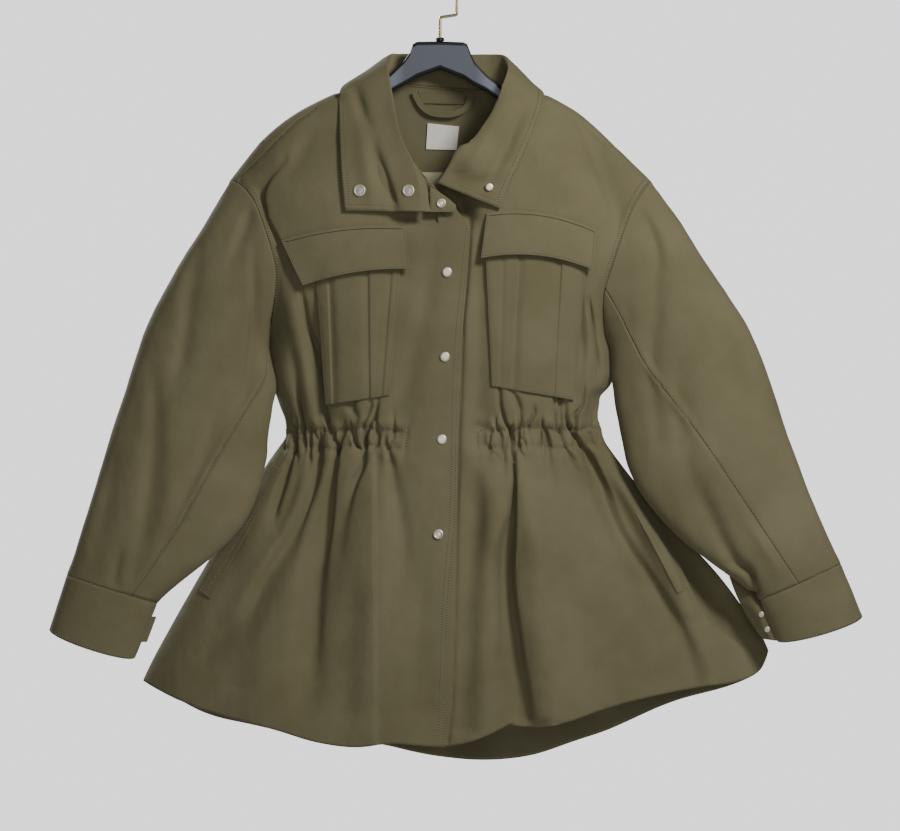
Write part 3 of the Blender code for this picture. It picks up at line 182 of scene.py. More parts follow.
def with_painted_rim_shade(name, face, rim, inner_mm, outer_mm):
    """The flat faces, furthest from the middle plane, in one colour, and the rim in a darker one, which is
    painted shade.
    """
    material = worn(name, face, 0.42, grain=500.0, relief=0.12)
    tree = material.node_tree
    shader = tree.nodes["Principled BSDF"]
    where = add(tree, "ShaderNodeTexCoord")
    parts = add(tree, "ShaderNodeSeparateXYZ", links=[("Vector", where, "Object")])
    off = add(tree, "ShaderNodeMath", links=[(0, parts, "Y")], operation="ABSOLUTE")
    share = add(tree, "ShaderNodeMapRange", {"From Min": inner_mm * MM, "From Max": outer_mm * MM},
                [("Value", off, "Value")])
    # the rim's darker colour is painted shade
    colour = add(tree, "ShaderNodeMix", {6: linear(rim), 7: linear(face)}, [(0, share, "Result")],
                 data_type="RGBA")
    tree.links.new(colour.outputs[2], shader.inputs["Base Color"])
    return material


# Spun polyester thread, a shade lighter than the cloth
thread = worn("spun polyester thread", THREAD, 0.7)
# Painted shade: a dark grain stands for the shade in each needle hole beside a stitch and in the ditch of
# a seam, in the cotton twill
painted_hole_shade = worn("painted shade in a needle hole", HOLE_SHADE, 0.9)
# Nickel-plated brass
snap_metal = worn("nickel-plated brass", NICKEL, 0.42, 0.75)
# Injection-moulded plastic, slate; the rim, darker as painted shade, begins where the flat faces end
RIM_FROM, RIM_TO = 6.6, 7.8                    # mm from the middle plane
hanger_plastic = with_painted_rim_shade("ABS hanger with painted rim shade", HANGER, HANGER_RIM_SHADE, RIM_FROM, RIM_TO)
ferrule_plastic = worn("black nylon washer", BLACK, 0.4)
# Steel rod, champagne plated
hook_metal = worn("champagne-plated steel rod", CHAMPAGNE, 0.28, 1.0)
print([material.name for material in bpy.data.materials])

# %% [markdown]
# ## From a solid to a sheet
# Cloth is one sheet with a wall of its own, and its folds need many points, which a CAD solid lacks.
# A CAD wall is 1.3 mm thick. Its rim faces are found by that length, which leaves two open faces.
# The outer one is kept and subdivided; Solidify gives the cloth its wall again at the end. That
# keeps both sides of the cloth in step, which pressing a closed solid would not.

# %% Sheet tools
WALL = 1.3
RIM_ERROR = 0.004        # how exactly a rim edge has the wall's length, mm
MERGE = 0.005            # points nearer than this are one, mm
CORNER = -0.75           # rim edges that turn more than this cosine make a corner that stays sharp
UNLIKE_PLANE, UNLIKE_SHAPE = 55, 75            # what two triangles that make a quad may differ by, degrees


def outer_face(node, towards, wall=WALL):
    """The face of a CAD wall that looks the way of towards(centre), as an open sheet."""
    bm = bmesh.new()
    bm.from_mesh(nodes[node].data)
    bmesh.ops.remove_doubles(bm, verts=bm.verts, dist=MERGE * MM)
    rim = [f for f in bm.faces if any(abs(e.calc_length() / MM - wall) < RIM_ERROR for e in f.edges)]
    bmesh.ops.delete(bm, geom=rim, context="FACES")
    left = set(bm.faces)
    best, best_score = None, 0.0
    while left:
        island, queue = set(), [left.pop()]
        while queue:
            face = queue.pop()
            island.add(face)
            for edge in face.edges:
                for other in edge.link_faces:
                    if other in left:
                        left.discard(other)
                        queue.append(other)
        score = sum(f.normal.dot(towards(f.calc_center_median())) * f.calc_area() for f in island)
        if score > best_score:
            best, best_score = island, score
    bmesh.ops.delete(bm, geom=[f for f in bm.faces if f not in best], context="FACES")
    bmesh.ops.join_triangles(bm, faces=bm.faces[:], angle_face_threshold=math.radians(UNLIKE_PLANE),
                             angle_shape_threshold=math.radians(UNLIKE_SHAPE))
    corner = bm.verts.layers.float.new("crease_vert")
    for v in bm.verts:
        rim_edges = [e for e in v.link_edges if e.is_boundary]
        if len(rim_edges) == 2:
            a, b = [(e.other_vert(v).co - v.co).normalized() for e in rim_edges]
            if a.dot(b) > CORNER:
                v[corner] = 1.0
    return bm


def evaluated(mesh, kind, **settings):
    """The mesh after one modifier, as a plain mesh."""
    holder = bpy.data.objects.new("holder", mesh)
    bpy.context.scene.collection.objects.link(holder)
    modifier = holder.modifiers.new("step", kind)
    for name, value in settings.items():
        setattr(modifier, name, value)
    made = bpy.data.meshes.new_from_object(holder.evaluated_get(bpy.context.evaluated_depsgraph_get()))
    bpy.data.objects.remove(holder)
    return made


def subdivided(bm, levels):
    mesh = bpy.data.meshes.new("sheet")
    bm.to_mesh(mesh)
    bm.free()
    return evaluated(mesh, "SUBSURF", levels=levels, render_levels=levels,
                     boundary_smooth="PRESERVE_CORNERS")


def with_wall(mesh, wall=WALL):
    """The open sheet given the cloth's thickness, inwards."""
    return evaluated(mesh, "SOLIDIFY", thickness=wall * MM, offset=-1.0, use_even_offset=False)


def column(mesh, name):
    values = np.empty(len(mesh.vertices) * 3)
    mesh.vertices.foreach_get(name, values)
    return values.reshape(-1, 3)


# an edge over which the press changes more than this is halved, mm; the back and the sleeves have
# softer folds, and no piece may pass 200,000 triangles
STEEP = {"back": 4.0, "sleeve": 1.4}
STEEP_ELSEWHERE = 0.8
SHORTEST = 1.3           # but not an edge shorter than this


def refined(mesh, depth, steep_mm):
    """More points where the cloth is pressed steeply, so that a sharp fold stays sharp."""
    sunk = depth(column(mesh, "co") / MM)
    bm = bmesh.new()
    bm.from_mesh(mesh)
    steep = [e for e in bm.edges if not e.is_boundary and e.calc_length() > SHORTEST * MM
             and abs(sunk[e.verts[0].index] - sunk[e.verts[1].index]) > steep_mm]
    bmesh.ops.subdivide_edges(bm, edges=steep, cuts=1, use_grid_fill=True)
    bm.to_mesh(mesh)
    bm.free()


def press(mesh, depth):
    """Push each point in along its normal by depth(points in mm), in mm."""
    points = column(mesh, "co")
    moved = points - column(mesh, "normal") * (depth(points / MM) * MM)[:, None]
    mesh.vertices.foreach_set("co", moved.ravel())
    mesh.update()


def finished(name, mesh, material, slot, *replaced, sharp=180):
    """A named piece of the scene, riding on the one body, in place of its solids."""
    mesh.materials.clear()
    mesh.materials.append(material)
    mesh.shade_smooth()
    if sharp < 180:
        mesh.set_sharp_from_angle(angle=math.radians(sharp))
    piece = bpy.data.objects.new(name, mesh)
    bpy.context.scene.collection.objects.link(piece)
    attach(piece, "root")
    if replaced:
        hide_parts(*replaced)
    return piece


# %% [markdown]
# ## Folds
# Cloth that hangs makes folds that start at a seam or a gather, lean, widen and die out. Each is
# given as a path down the cloth. At each station it has a depth, negative where it stands up, and
# a width for either flank, so a narrow flank beside a wide one gives a fold that leans over.
# Sculpting could make them too, but a list of stations can be read and changed.

# %% Folds
# a station is x, z, how deep it is pressed in, and the width of its left and its right flank, mm
FOLD_END = 9.0           # how soon a fold dies out past its last station, mm


def smooth(at, x, y):
    """A curve through rising x that never swings past its points."""
    x, y = np.asarray(x, float), np.asarray(y, float)
    at = np.clip(at, x[0], x[-1])
    run = np.diff(x)
    slope = np.diff(y) / run
    tangent = np.concatenate([slope[:1], np.zeros(len(x) - 2), slope[-1:]])
    for i in range(1, len(x) - 1):
        if slope[i - 1] * slope[i] > 0:
            tangent[i] = 2 * slope[i - 1] * slope[i] / (slope[i - 1] + slope[i])
    i = np.clip(np.searchsorted(x, at, side="right") - 1, 0, len(run) - 1)
    t = (at - x[i]) / run[i]
    rise = (2 * t**3 - 3 * t**2 + 1) * y[i] + (-2 * t**3 + 3 * t**2) * y[i + 1]
    return rise + run[i] * ((t**3 - 2 * t**2 + t) * tangent[i] + (t**3 - t**2) * tangent[i + 1])


def folded(folds, x, z):
    """How far all the folds together press the cloth in."""
    total = np.zeros(len(x))
    for fold in folds:
        rows = np.array(sorted(fold, key=lambda s: s[1]), float)
        low, high = rows[0, 1], rows[-1, 1]
        near = (z > low - 3 * FOLD_END) & (z < high + 3 * FOLD_END)
        if not near.any():
            continue
        here = z[near]
        middle, sink, left, right = [smooth(here, rows[:, 1], rows[:, k]) for k in (0, 2, 3, 4)]
        lean = (smooth(here + 1, rows[:, 1], rows[:, 0]) - smooth(here - 1, rows[:, 1], rows[:, 0])) / 2
        across = (x[near] - middle) / np.sqrt(1 + lean**2)
        past = np.clip(np.maximum(low - here, here - high), 0, None)
        width = np.where(across < 0, left, right)
        total[near] += sink * np.exp(-((across / width) ** 2) - (past / FOLD_END) ** 2)
    return total


def slow_noise(points, size_x, size_z, seed):
    """Uneven slack in the cloth, -1 to 1, stretched along the hang."""
    return np.array([noise.noise(Vector((p[0] / size_x + seed, p[1] / 60.0, p[2] / size_z)))
                     for p in points])


FRONT_FOLDS = (
    # skirt, wearer's right
    ((-127, -556, 7, 2, 2), (-124, -568, 11, 3, 3), (-127, -600, 12, 6, 2.5),
     (-131, -640, 12, 12, 3), (-137, -680, 10, 18, 4), (-146, -730, 8, 20, 8),
     (-150, -790, 7, 18, 9), (-154, -850, 4, 22, 14), (-158, -900, 1, 26, 18)),
    ((-144, -556, 6, 2, 2.5), (-148, -585, 10, 2.5, 5), (-156, -618, 10, 3, 9),
     (-175, -665, 9, 4, 14), (-205, -715, 7, 6, 18), (-234, -767, 5, 9, 22), (-277, -815, 2, 14, 26)),
    ((-156, -566, -2, 6, 4), (-164, -610, -3, 8, 5), (-184, -662, -4, 10, 6),
     (-214, -712, -4, 12, 8), (-246, -766, -2, 14, 10)),
    ((-176, -562, 6, 2.5, 3), (-184, -590, 7, 4, 5), (-192, -620, 8, 6, 6), (-197, -642, 7, 8, 5),
     (-199, -655, 2, 8, 6)),
    ((-90, -558, 7, 2, 2.5), (-91, -580, 9, 3, 3), (-101, -606, 8, 6, 3.5), (-113, -642, 5, 10, 6),
     (-122, -690, 2, 14, 10)),
    ((-66, -560, 4, 3, 3), (-59, -584, 5, 4, 5), (-55, -604, 5, 6, 7), (-46, -660, 4, 10, 9),
     (-42, -720, 1, 14, 12)),
    ((-77, -570, 1, 2, 14), (-76, -620, 4, 2, 22), (-75, -700, 5, 2, 28), (-74, -800, 5, 2.5, 30),
     (-73, -915, 4, 3, 30)),
    ((-212, -690, 0, 14, 14), (-226, -760, 4, 14, 20), (-246, -850, 3, 16, 22)),
    ((-100, -700, 0, 12, 12), (-108, -780, 4, 16, 16), (-112, -880, 3, 18, 18)),
    ((-20, -640, 0, 12, 12), (-24, -740, 3, 16, 16), (-28, -880, 2, 18, 18)),
    # skirt, wearer's left: the lap fold first
    ((86, -548, 6, 2, 2), (88, -560, 9, 2, 1.8), (89, -600, 10, 2, 1.8), (89, -640, 11, 4, 1.8),
     (88, -670, 13, 12, 2), (85, -708, 12, 22, 2.5), (87, -750, 10, 26, 4), (93, -800, 8, 26, 7),
     (104, -885, 6, 24, 10)),
    ((94, -575, -1, 4, 12), (95, -650, -5, 4, 18), (95, -710, -9, 5, 22), (103, -790, -9, 7, 26),
     (117, -885, -6, 10, 28)),
    ((44, -600, 2, 10, 12), (41, -652, 7, 12, 14), (34, -760, 7, 14, 16), (28, -900, 5, 16, 18)),
    ((82, -560, -1, 6, 3), (76, -660, -2, 10, 4), (66, -800, -2, 10, 8)),
    ((152, -520, 6, 2, 2), (154, -538, 9, 2, 2), (160, -549, 10, 2.2, 2.2), (176, -568, 11, 5, 2.2),
     (200, -616, 11, 12, 2.5), (216, -660, 9, 16, 3.5), (256, -732, 8, 18, 6), (290, -793, 6, 20, 9),
     (307, -850, 3, 22, 12)),
    ((145, -548, 6, 2, 2.5), (150, -566, 6, 5, 4), (162, -590, 6, 10, 6), (182, -608, 4, 10, 6),
     (196, -640, 1, 12, 8)),
    ((122, -540, 5, 2, 2), (128, -550, 7, 2.2, 2.2), (130, -565, 7, 4, 4), (131, -586, 5, 6, 6),
     (134, -620, 1, 8, 8)),
    ((212, -580, 3, 2, 14), (236, -612, 4, 2, 22), (262, -650, 4.5, 2, 40), (288, -700, 4.5, 2, 56),
     (312, -750, 4.5, 2.2, 60), (330, -774, 3, 4, 60), (346, -790, 1, 8, 60)),
    ((206, -575, -3, 6, 4), (232, -632, -4, 8, 5), (270, -700, -5, 10, 6), (300, -762, -3, 12, 8)),
    ((328, -772, 2, 3, 5), (350, -790, 4, 3, 7), (372, -810, 2, 4, 8)),
    # chest, wearer's right: the drape from the shoulder and the one beside the pocket
    ((-186, -222, 2, 8, 3), (-206, -246, 5, 10, 2.5), (-213, -264, 8, 12, 2), (-210, -286, 9, 14, 2),
     (-196, -316, 8, 16, 2), (-182, -342, 6, 14, 2.5), (-170, -366, 3, 10, 3)),
    ((-167, -378, 3, 2, 4), (-158, -422, 8, 2, 4), (-149, -452, 11, 2.2, 5), (-143, -490, 11, 2, 4.5),
     (-141, -516, 9, 2, 4), (-136, -536, 8, 2, 3), (-130, -552, 7, 2, 2.5)),
    ((-176, -400, -2, 10, 6), (-166, -450, -5, 12, 7), (-158, -500, -6, 12, 7), (-150, -540, -3, 8, 6)),
    ((-178, -440, 1, 8, 8), (-174, -470, 5, 9, 8), (-170, -505, 5, 8, 7), (-164, -540, 4, 5, 5)),
    ((-172, -500, 3, 3, 3), (-168, -530, 7, 2.2, 2.2), (-165, -550, 6, 2, 2)),
    ((-184, -520, 2, 3, 3), (-180, -540, 6, 2.5, 2.5), (-175, -562, 7, 2.5, 2.5), (-172, -578, 3, 3, 3)),
    ((-104, -500, 2, 8, 6), (-106, -518, 6, 6, 5), (-100, -532, 3, 5, 5)),
    ((-8, -330, 0, 10, 10), (-20, -407, 4, 10, 16), (-46, -510, 4, 12, 16), (-52, -545, 2, 10, 12)),
    # chest, wearer's left
    ((160, -372, 5, 4, 3), (157, -410, 9, 4, 2.5), (152, -450, 11, 5, 2.5), (148, -500, 10, 5, 2.5),
     (146, -530, 6, 3, 2)),
    ((174, -385, -3, 6, 6), (178, -440, -5, 8, 7), (172, -510, -5, 8, 7), (168, -540, -2, 6, 5)),
    ((179, -396, 4, 2.5, 2.5), (184, -420, 6, 2.5, 2.5), (190, -460, 6, 3, 3), (192, -480, 3, 4, 4)),
    ((50, -300, 2, 8, 10), (47, -400, 4, 9, 12), (46, -520, 4, 10, 12), (48, -580, 2, 10, 12)),
    ((166, -165, 3, 8, 12), (182, -200, 5, 8, 14), (198, -240, 6, 10, 14), (212, -280, 5, 10, 12),
     (216, -310, 2, 10, 10)),
    ((-150, -180, 0, 12, 12), (-166, -210, 3, 10, 12), (-186, -250, 1, 12, 12)),
    ((128, -180, 0, 12, 12), (140, -220, 2, 12, 14), (150, -262, 0, 12, 14)),
)
# the sharp creases that the elastic pulls into the cloth, wearer's right and then left
WAIST_CREASES = (
    ((-74, -510, 3, 2, 2), (-78, -532, 7, 2, 2), (-86, -546, 8, 2, 2), (-90, -556, 7, 2, 2)),
    ((-83, -518, 4, 3, 2.5), (-92, -540, 5, 3, 2)),
    ((-114, -546, 5, 2, 2), (-118, -556, 7, 2, 2), (-122, -566, 8, 2, 2)),
    ((-108, -547, 6, 2, 2), (-101, -562, 7, 2, 2), (-95, -569, 5, 2, 2)),
    ((-76, -540, 4, 1.8, 1.8), (-74, -556, 5, 1.8, 1.8), (-78, -572, 3, 2, 2)),
    ((-156, -546, 6, 2, 2), (-156, -562, 7, 2, 2), (-157, -580, 4, 2, 3)),
    ((-174, -541, 5, 2, 2), (-174, -556, 7, 2, 2), (-178, -571, 5, 2, 2)),
    ((-166, -548, 4, 2, 2), (-162, -559, 4, 2, 2)),
    ((-152, -548, 4, 2, 2), (-147, -560, 4, 2, 2)),
    ((-56, -530, 2, 2, 2), (-55, -548, 4, 2, 2)),
    ((172, -499, 3, 2, 2), (170, -516, 6, 2, 2), (163, -530, 7, 2, 2), (163, -543, 5, 2, 2)),
    ((138, -500, 2, 2.5, 2.5), (139, -516, 5, 2, 2), (140, -546, 6, 2, 2)),
    ((85, -498, 3, 3, 3), (94, -515, 6, 3, 3), (96, -530, 4, 2.5, 2.5), (93, -553, 5, 2, 2)),
    ((71, -480, 3, 2, 2), (72, -510, 6, 2, 2), (78, -536, 8, 2, 2), (86, -548, 8, 2, 2)),
    ((66, -538, 4, 2.2, 2.2), (74, -556, 6, 2, 2), (76, -585, 4, 2.5, 4), (74, -620, 2, 4, 6)),
    ((113, -526, 5, 2.2, 2.2), (106, -540, 5, 2.2, 2.2)),
    ((188, -520, 2, 4, 2), (186, -540, 4, 3, 2), (190, -556, 4, 2, 2)),
)
# only on one front: the hollows behind the open collar, and the step beside the lapped edge
RIGHT_FRONT_FOLDS = (
    ((-22, -262, 8, 32, 34), (-20, -292, 9, 34, 36)),
)
SHOULDER_SEAM = (         # lies forward of the shoulder's edge, wearer's right
    ((-148, -158, 1.0, 1.8, 1.8), (-172, -175, 1.6, 1.8, 1.8), (-194, -196, 1.8, 1.8, 1.8),
     (-213, -216, 1.8, 1.8, 1.8), (-228, -230, 1.8, 1.8, 1.8), (-240, -241, 1.2, 1.8, 1.8)),
)
LEFT_FRONT_FOLDS = (
    ((6, -246, 12, 12, 12), (14, -262, 24, 18, 16), (26, -280, 24, 16, 12), (34, -300, 6, 10, 10)),
    ((36, -300, 3, 4, 3), (34, -336, 4, 4, 3), (31, -376, 4, 4, 3), (27, -416, 4, 4, 3),
     (26, -456, 3.5, 4, 3), (22, -560, 2.5, 4, 3), (20, -660, 3, 4, 3), (14, -870, 3, 4, 3),
     (9, -915, 3, 4, 3)),
)
BACK_FOLDS = (
    ((-118, -562, 7, 4, 6), (-130, -640, 8, 8, 14), (-158, -760, 6, 16, 20), (-180, -880, 2, 20, 22)),
    ((-62, -562, 6, 5, 3), (-68, -650, 8, 14, 5), (-78, -780, 5, 20, 14), (-84, -900, 2, 22, 18)),
    ((-10, -562, 6, 4, 5), (-6, -680, 7, 12, 12), (-2, -820, 4, 20, 18), (2, -920, 2, 20, 20)),
    ((54, -562, 7, 4, 4), (60, -640, 9, 5, 16), (68, -760, 6, 12, 20), (76, -900, 2, 18, 22)),
    ((120, -562, 7, 6, 4), (140, -650, 8, 14, 7), (168, -760, 6, 20, 14), (200, -880, 2, 22, 18)),
    ((-170, -562, 4, 6, 6), (-214, -690, 4, 14, 14), (-260, -800, 2, 18, 18)),
    ((168, -562, 4, 6, 6), (220, -680, 4, 14, 14), (276, -800, 2, 18, 18)),
    ((-150, -300, 0, 14, 14), (-132, -400, 5, 12, 16), (-110, -500, 4, 12, 14), (-102, -546, 3, 6, 6)),
    ((150, -300, 0, 14, 14), (130, -410, 5, 16, 12), (112, -500, 4, 14, 12), (104, -546, 3, 6, 6)),
    ((-30, -380, 0, 14, 14), (-36, -480, 3, 14, 14), (-40, -546, 3, 6, 6)),
    ((40, -360, 0, 14, 14), (36, -470, 3, 14, 14), (32, -546, 3, 6, 6)),
    ((-186, -260, 3, 8, 12), (-170, -340, 3, 10, 14), (-160, -420, 0, 12, 14)),
    ((184, -262, 3, 12, 8), (168, -340, 3, 14, 10), (156, -420, 0, 14, 12)),
)
SLEEVE_FOLDS = (
    # wearer's right sleeve
    ((-226, -276, 1, 5, 8), (-236, -305, 5, 6, 10), (-250, -345, 2, 8, 12)),
    ((-290, -330, 1, 8, 10), (-299, -375, 4, 9, 12), (-308, -450, 5, 9, 12), (-322, -505, 1, 10, 12)),
    ((-345, -470, 1, 10, 12), (-341, -520, 5, 9, 12), (-345, -590, 6, 10, 14), (-358, -690, 3, 10, 12),
     (-366, -722, 1, 8, 8)),
    ((-224, -330, 1, 5, 8), (-223, -400, 4, 5, 9), (-228, -470, 4, 6, 10), (-244, -540, 1, 8, 10)),
    ((-386, -560, 0, 10, 10), (-398, -630, 3, 10, 12), (-410, -700, 1, 10, 10)),
    ((-262, -500, 0, 8, 12), (-276, -560, 4, 8, 14), (-304, -630, 3, 10, 12), (-330, -680, 0, 10, 12)),
    ((-318, -560, -1, 12, 12), (-320, -620, -3, 12, 12), (-336, -690, -1, 12, 12)),
    ((-378, -680, 0, 6, 7), (-384, -705, 3, 5, 6), (-388, -728, 2, 5, 6)),
    # wearer's left sleeve
    ((240, -278, 1, 8, 6), (256, -312, 5, 10, 6), (264, -350, 2, 12, 8)),
    ((262, -320, 1, 8, 10), (258, -390, 5, 10, 12), (252, -470, 5, 8, 12), (262, -560, 2, 8, 10)),
    ((276, -450, 1, 12, 12), (288, -530, 4, 12, 14), (300, -620, 4, 12, 14), (322, -690, 1, 10, 10)),
    ((300, -590, 0, 9, 12), (322, -650, 6, 8, 12), (350, -702, 8, 8, 8), (370, -720, 12, 5, 4),
     (376, -738, 8, 5, 4)),
    ((398, -540, 0, 12, 12), (420, -620, 4, 12, 12), (442, -692, 2, 10, 10)),
    ((330, -380, 0, 14, 14), (352, -460, 3, 14, 14), (372, -540, 0, 14, 14)),
    ((356, -620, -1, 10, 10), (384, -680, -3, 10, 10), (402, -712, -1, 8, 8)),
)
COLLAR_FOLDS = (
    # the corners that stand away from the chest
    ((-30, -272, -1, 20, 20), (-26, -285, -8, 30, 30), (-24, -292, -9, 32, 30)),
    ((12, -196, -1, 12, 16), (24, -214, -7, 14, 20), (46, -238, -6, 16, 22)),
    ((-103, -132, 2, 7, 7), (-95, -160, 5, 7, 7), (-86, -186, 2, 8, 8)),
    ((-80, -205, 2, 9, 6), (-74, -224, 6, 10, 6), (-66, -246, 8, 10, 5), (-58, -266, 7, 9, 4),
     (-54, -280, 3, 8, 5)),
    ((-92, -170, -1, 10, 10), (-88, -220, -3, 10, 8), (-80, -280, -1, 8, 6)),
    ((72, -140, 3, 6, 6), (52, -170, 6, 7, 7), (34, -194, 6, 7, 7), (20, -208, 3, 6, 6)),
    ((98, -160, 2, 6, 8), (80, -204, 6, 8, 9), (62, -240, 5, 8, 9), (50, -262, 2, 8, 8)),
    ((112, -176, 1, 6, 6), (102, -226, 3, 8, 7), (88, -262, 2, 8, 7)),
    ((66, -176, -1, 8, 8), (46, -214, -4, 9, 9), (30, -238, -2, 8, 8)),
)
all_folds = (FRONT_FOLDS, WAIST_CREASES, RIGHT_FRONT_FOLDS, SHOULDER_SEAM, LEFT_FRONT_FOLDS, BACK_FOLDS,
             SLEEVE_FOLDS, COLLAR_FOLDS)
print(sum(len(folds) for folds in all_folds), "folds by hand")

# %% [markdown]
# An elastic tape in a stitched casing gathers the waist. Between two pinches the cloth swells into
# a bulb, and each pinch runs out into a fold above and below, all uneven in depth, lean and reach.
# They follow a rule, so a loop of sines places them, with the same result in every run.

# %% Elastic
WAIST_Z = -556.0
CASING = 10.0            # from the middle of the elastic to either stitched line, mm
BULB = 2.2               # how far the cloth swells beside those lines, mm
ROW_SINK = 1.9           # how deep the lines themselves are drawn in, mm
Elastic = namedtuple("Elastic", "start stop count depth seed")
FRONT_ELASTIC = (Elastic(-190, -44, 12, 3.0, 1.0), Elastic(46, 198, 13, 3.0, 4.0))
BACK_ELASTIC = (Elastic(-184, 192, 34, 6.5, 2.0),)


def pinches(elastics):
    folds = []
    for e in elastics:
        pitch = (e.stop - e.start) / (e.count - 1)
        for i in range(e.count):
            x = e.start + pitch * (i + 0.34 * math.sin(2.4 * i + e.seed))
            up = 15 + 11 * math.sin(1.7 * i + e.seed)
            down = 22 + 15 * math.sin(2.9 * i + e.seed)
            lean = 5.0 * math.sin(5.1 * i + e.seed)
            depth = e.depth * (0.75 + 0.4 * math.sin(3.7 * i + e.seed))
            width = 2.4 + 0.7 * math.sin(4.3 * i)
            folds.append(((x + lean, WAIST_Z + up, 0.8, 6, 6),
                          (x + lean / 3, WAIST_Z + 5, depth, width, width),
                          (x - lean / 3, WAIST_Z - 6, depth, width, width),
                          (x - lean, WAIST_Z - down, 0.8, 7, 7)))
    return folds


def cinched(elastics, x, z):
    """The pull of the elastic: two stitched lines, with bulbs between and beside them."""
    reach = np.zeros(len(x))
    for e in elastics:
        reach = np.maximum(reach, np.clip(np.minimum(x - e.start, e.stop - x) / 12 + 0.6, 0, 1))
    off = np.abs(z - WAIST_Z + 2.2 * np.sin(x / 11.0 + 0.7) + 1.2 * np.sin(x / 4.3))
    uneven = 0.7 + 0.3 * np.sin(x / 3.1) * np.sin(x / 8.3 + 1.0)
    lines = ROW_SINK * np.exp(-(((off - CASING) / 2.8) ** 2))
    between = 0.6 * BULB * np.exp(-((off / 6) ** 2))
    beside = BULB * np.exp(-((off - CASING - 9) / 6) ** 2)
    return reach * uneven * (lines - between - beside)


front_pinches = pinches(FRONT_ELASTIC)
back_pinches = pinches(BACK_ELASTIC)
print(len(front_pinches) + len(back_pinches), "pinches on the elastic")

# %% [markdown]
# ## The sewn pieces
# Each row names a piece, how finely it is subdivided, its flat cut in metres with the area where
# that isn't a rectangle, how the piece is held and what it rests on. The pockets' box pleats are
# pressed as sharp lines with one steep flank, as an iron leaves them.

# %% Cut sizes
Cloth = namedtuple("Cloth", "node levels wide long area held rests_on")
CLOTHS = (
    Cloth("front_r", 3, 0.42, 0.82, 0.215, "hung", ("hanger_body",)),
    Cloth("front_l", 3, 0.44, 0.80, 0.218, "hung", ("hanger_body",)),
    Cloth("back", 3, 0.86, 0.84, 0.44, "hung", ("hanger_body",)),
    Cloth("sleeve_upper_r", 3, 0.33, 0.56, 0.125, "hung", ("front_r",)),
    Cloth("sleeve_under_r", 3, 0.16, 0.42, 0.037, "hung", ("front_r",)),
    Cloth("sleeve_upper_l", 3, 0.30, 0.56, 0.105, "hung", ("front_l",)),
    Cloth("sleeve_under_l", 3, 0.20, 0.44, 0.062, "hung", ("front_l",)),
    Cloth("cuff_r", 3, 0.28, 0.075, 0.0155, "folded", ("sleeve_upper_r",)),
    Cloth("cuff_l", 3, 0.28, 0.075, 0.0155, "folded", ("sleeve_upper_l",)),
    Cloth("cuff_tab_r", 3, 0.010, 0.034, None, "hung", ("cuff_r",)),
    Cloth("cuff_tab_l", 3, 0.032, 0.085, 0.0022, "hung", ("cuff_l",)),
    Cloth("collar", 3, 0.60, 0.11, 0.052, "folded", ("front_r", "front_l", "back")),
    Cloth("facing_corner_r", 3, 0.034, 0.026, 0.00075, "folded", ("front_r",)),
    Cloth("pocket_r", 4, 0.115, 0.19, 0.0175, "hung", ("front_r",)),
    Cloth("pocket_l", 4, 0.13, 0.19, 0.0215, "hung", ("front_l",)),
    Cloth("flap_r", 3, 0.155, 0.06, None, "hung", ("front_r",)),
    Cloth("flap_l", 3, 0.14, 0.06, None, "hung", ("front_l",)),
    Cloth("welt_r", 3, 0.022, 0.185, None, "hung", ("front_r",)),
    Cloth("welt_l", 3, 0.020, 0.12, None, "hung", ("front_l",)),
    Cloth("loop_patch", 3, 0.058, 0.016, None, "hung", ("back",)),
    Cloth("hang_loop", 3, 0.10, 0.014, 0.00075, "hung", ("loop_patch",)),
    Cloth("back_lining", 2, 0.066, 0.030, None, "hung", ("back",)),
    Cloth("label", 2, 0.038, 0.032, None, "hung", ("back",)),
)
SEWN = ("front_r", "front_l", "back", "sleeve_upper_r", "sleeve_under_r", "sleeve_upper_l",
        "sleeve_under_l", "cuff_r", "cuff_l", "collar")
LABEL_WALL = 1.0
PLEATS = {
    "pocket_r": (((-134, -350, 2.2, 0.9, 7), (-128, -516, 1.4, 0.9, 7)),
                 ((-86, -340, 2.2, 7, 0.9), (-84, -512, 1.4, 7, 0.9)),
                 ((-58, -360, 1.2, 4, 1.0), (-70, -512, 0.8, 4, 1.0))),
    "pocket_l": (((96, -322, 2.4, 0.9, 7), (86, -500, 1.4, 0.9, 7)),
                 ((146, -330, 2.4, 7, 0.9), (137, -508, 1.4, 7, 0.9)),
                 ((75, -330, 1.0, 1.0, 4), (71, -498, 0.6, 1.0, 4))),
}


def to_front(centre):
    return Vector((0, -1, 0))


def to_back(centre):
    return Vector((0, 1, 0))


def from_neck(centre):
    """Away from the neck's own axis, which leans forward."""
    return Vector((centre.x - 0.006, centre.y + 0.02, 0)).normalized()


def from_sleeve(sign):
    """Away from the middle line of a sleeve."""
    top = Vector((sign * 0.235, 0, -0.34))
    elbow = Vector((sign * 0.33, -0.03, -0.56))
    wrist = Vector((sign * 0.42, -0.055, -0.76))

    def towards(centre):
        nearest = min((start + (stop - start) * t for start, stop in ((top, elbow), (elbow, wrist))
                       for t in (0, 0.2, 0.4, 0.6, 0.8, 1)), key=lambda p: (p - centre).length)
        return (centre - nearest).normalized()
    return towards


def looks(node):
    if node == "back":
        return to_back
    if node == "collar":
        return from_neck
    if node.startswith(("sleeve", "cuff_r", "cuff_l")):
        return from_sleeve(-1 if node.endswith("r") else 1)
    return to_front


# %% [markdown]
# Under the arm the sleeve and the side of the body press against each other. Both are drawn out to
# meet, by an amount that changes with the height, and the front and back panels move together.
# The shoulders, the sleeves' outer sides and the top of the collar are drawn out a little too,
# where the solids cut the curve of the cloth short.

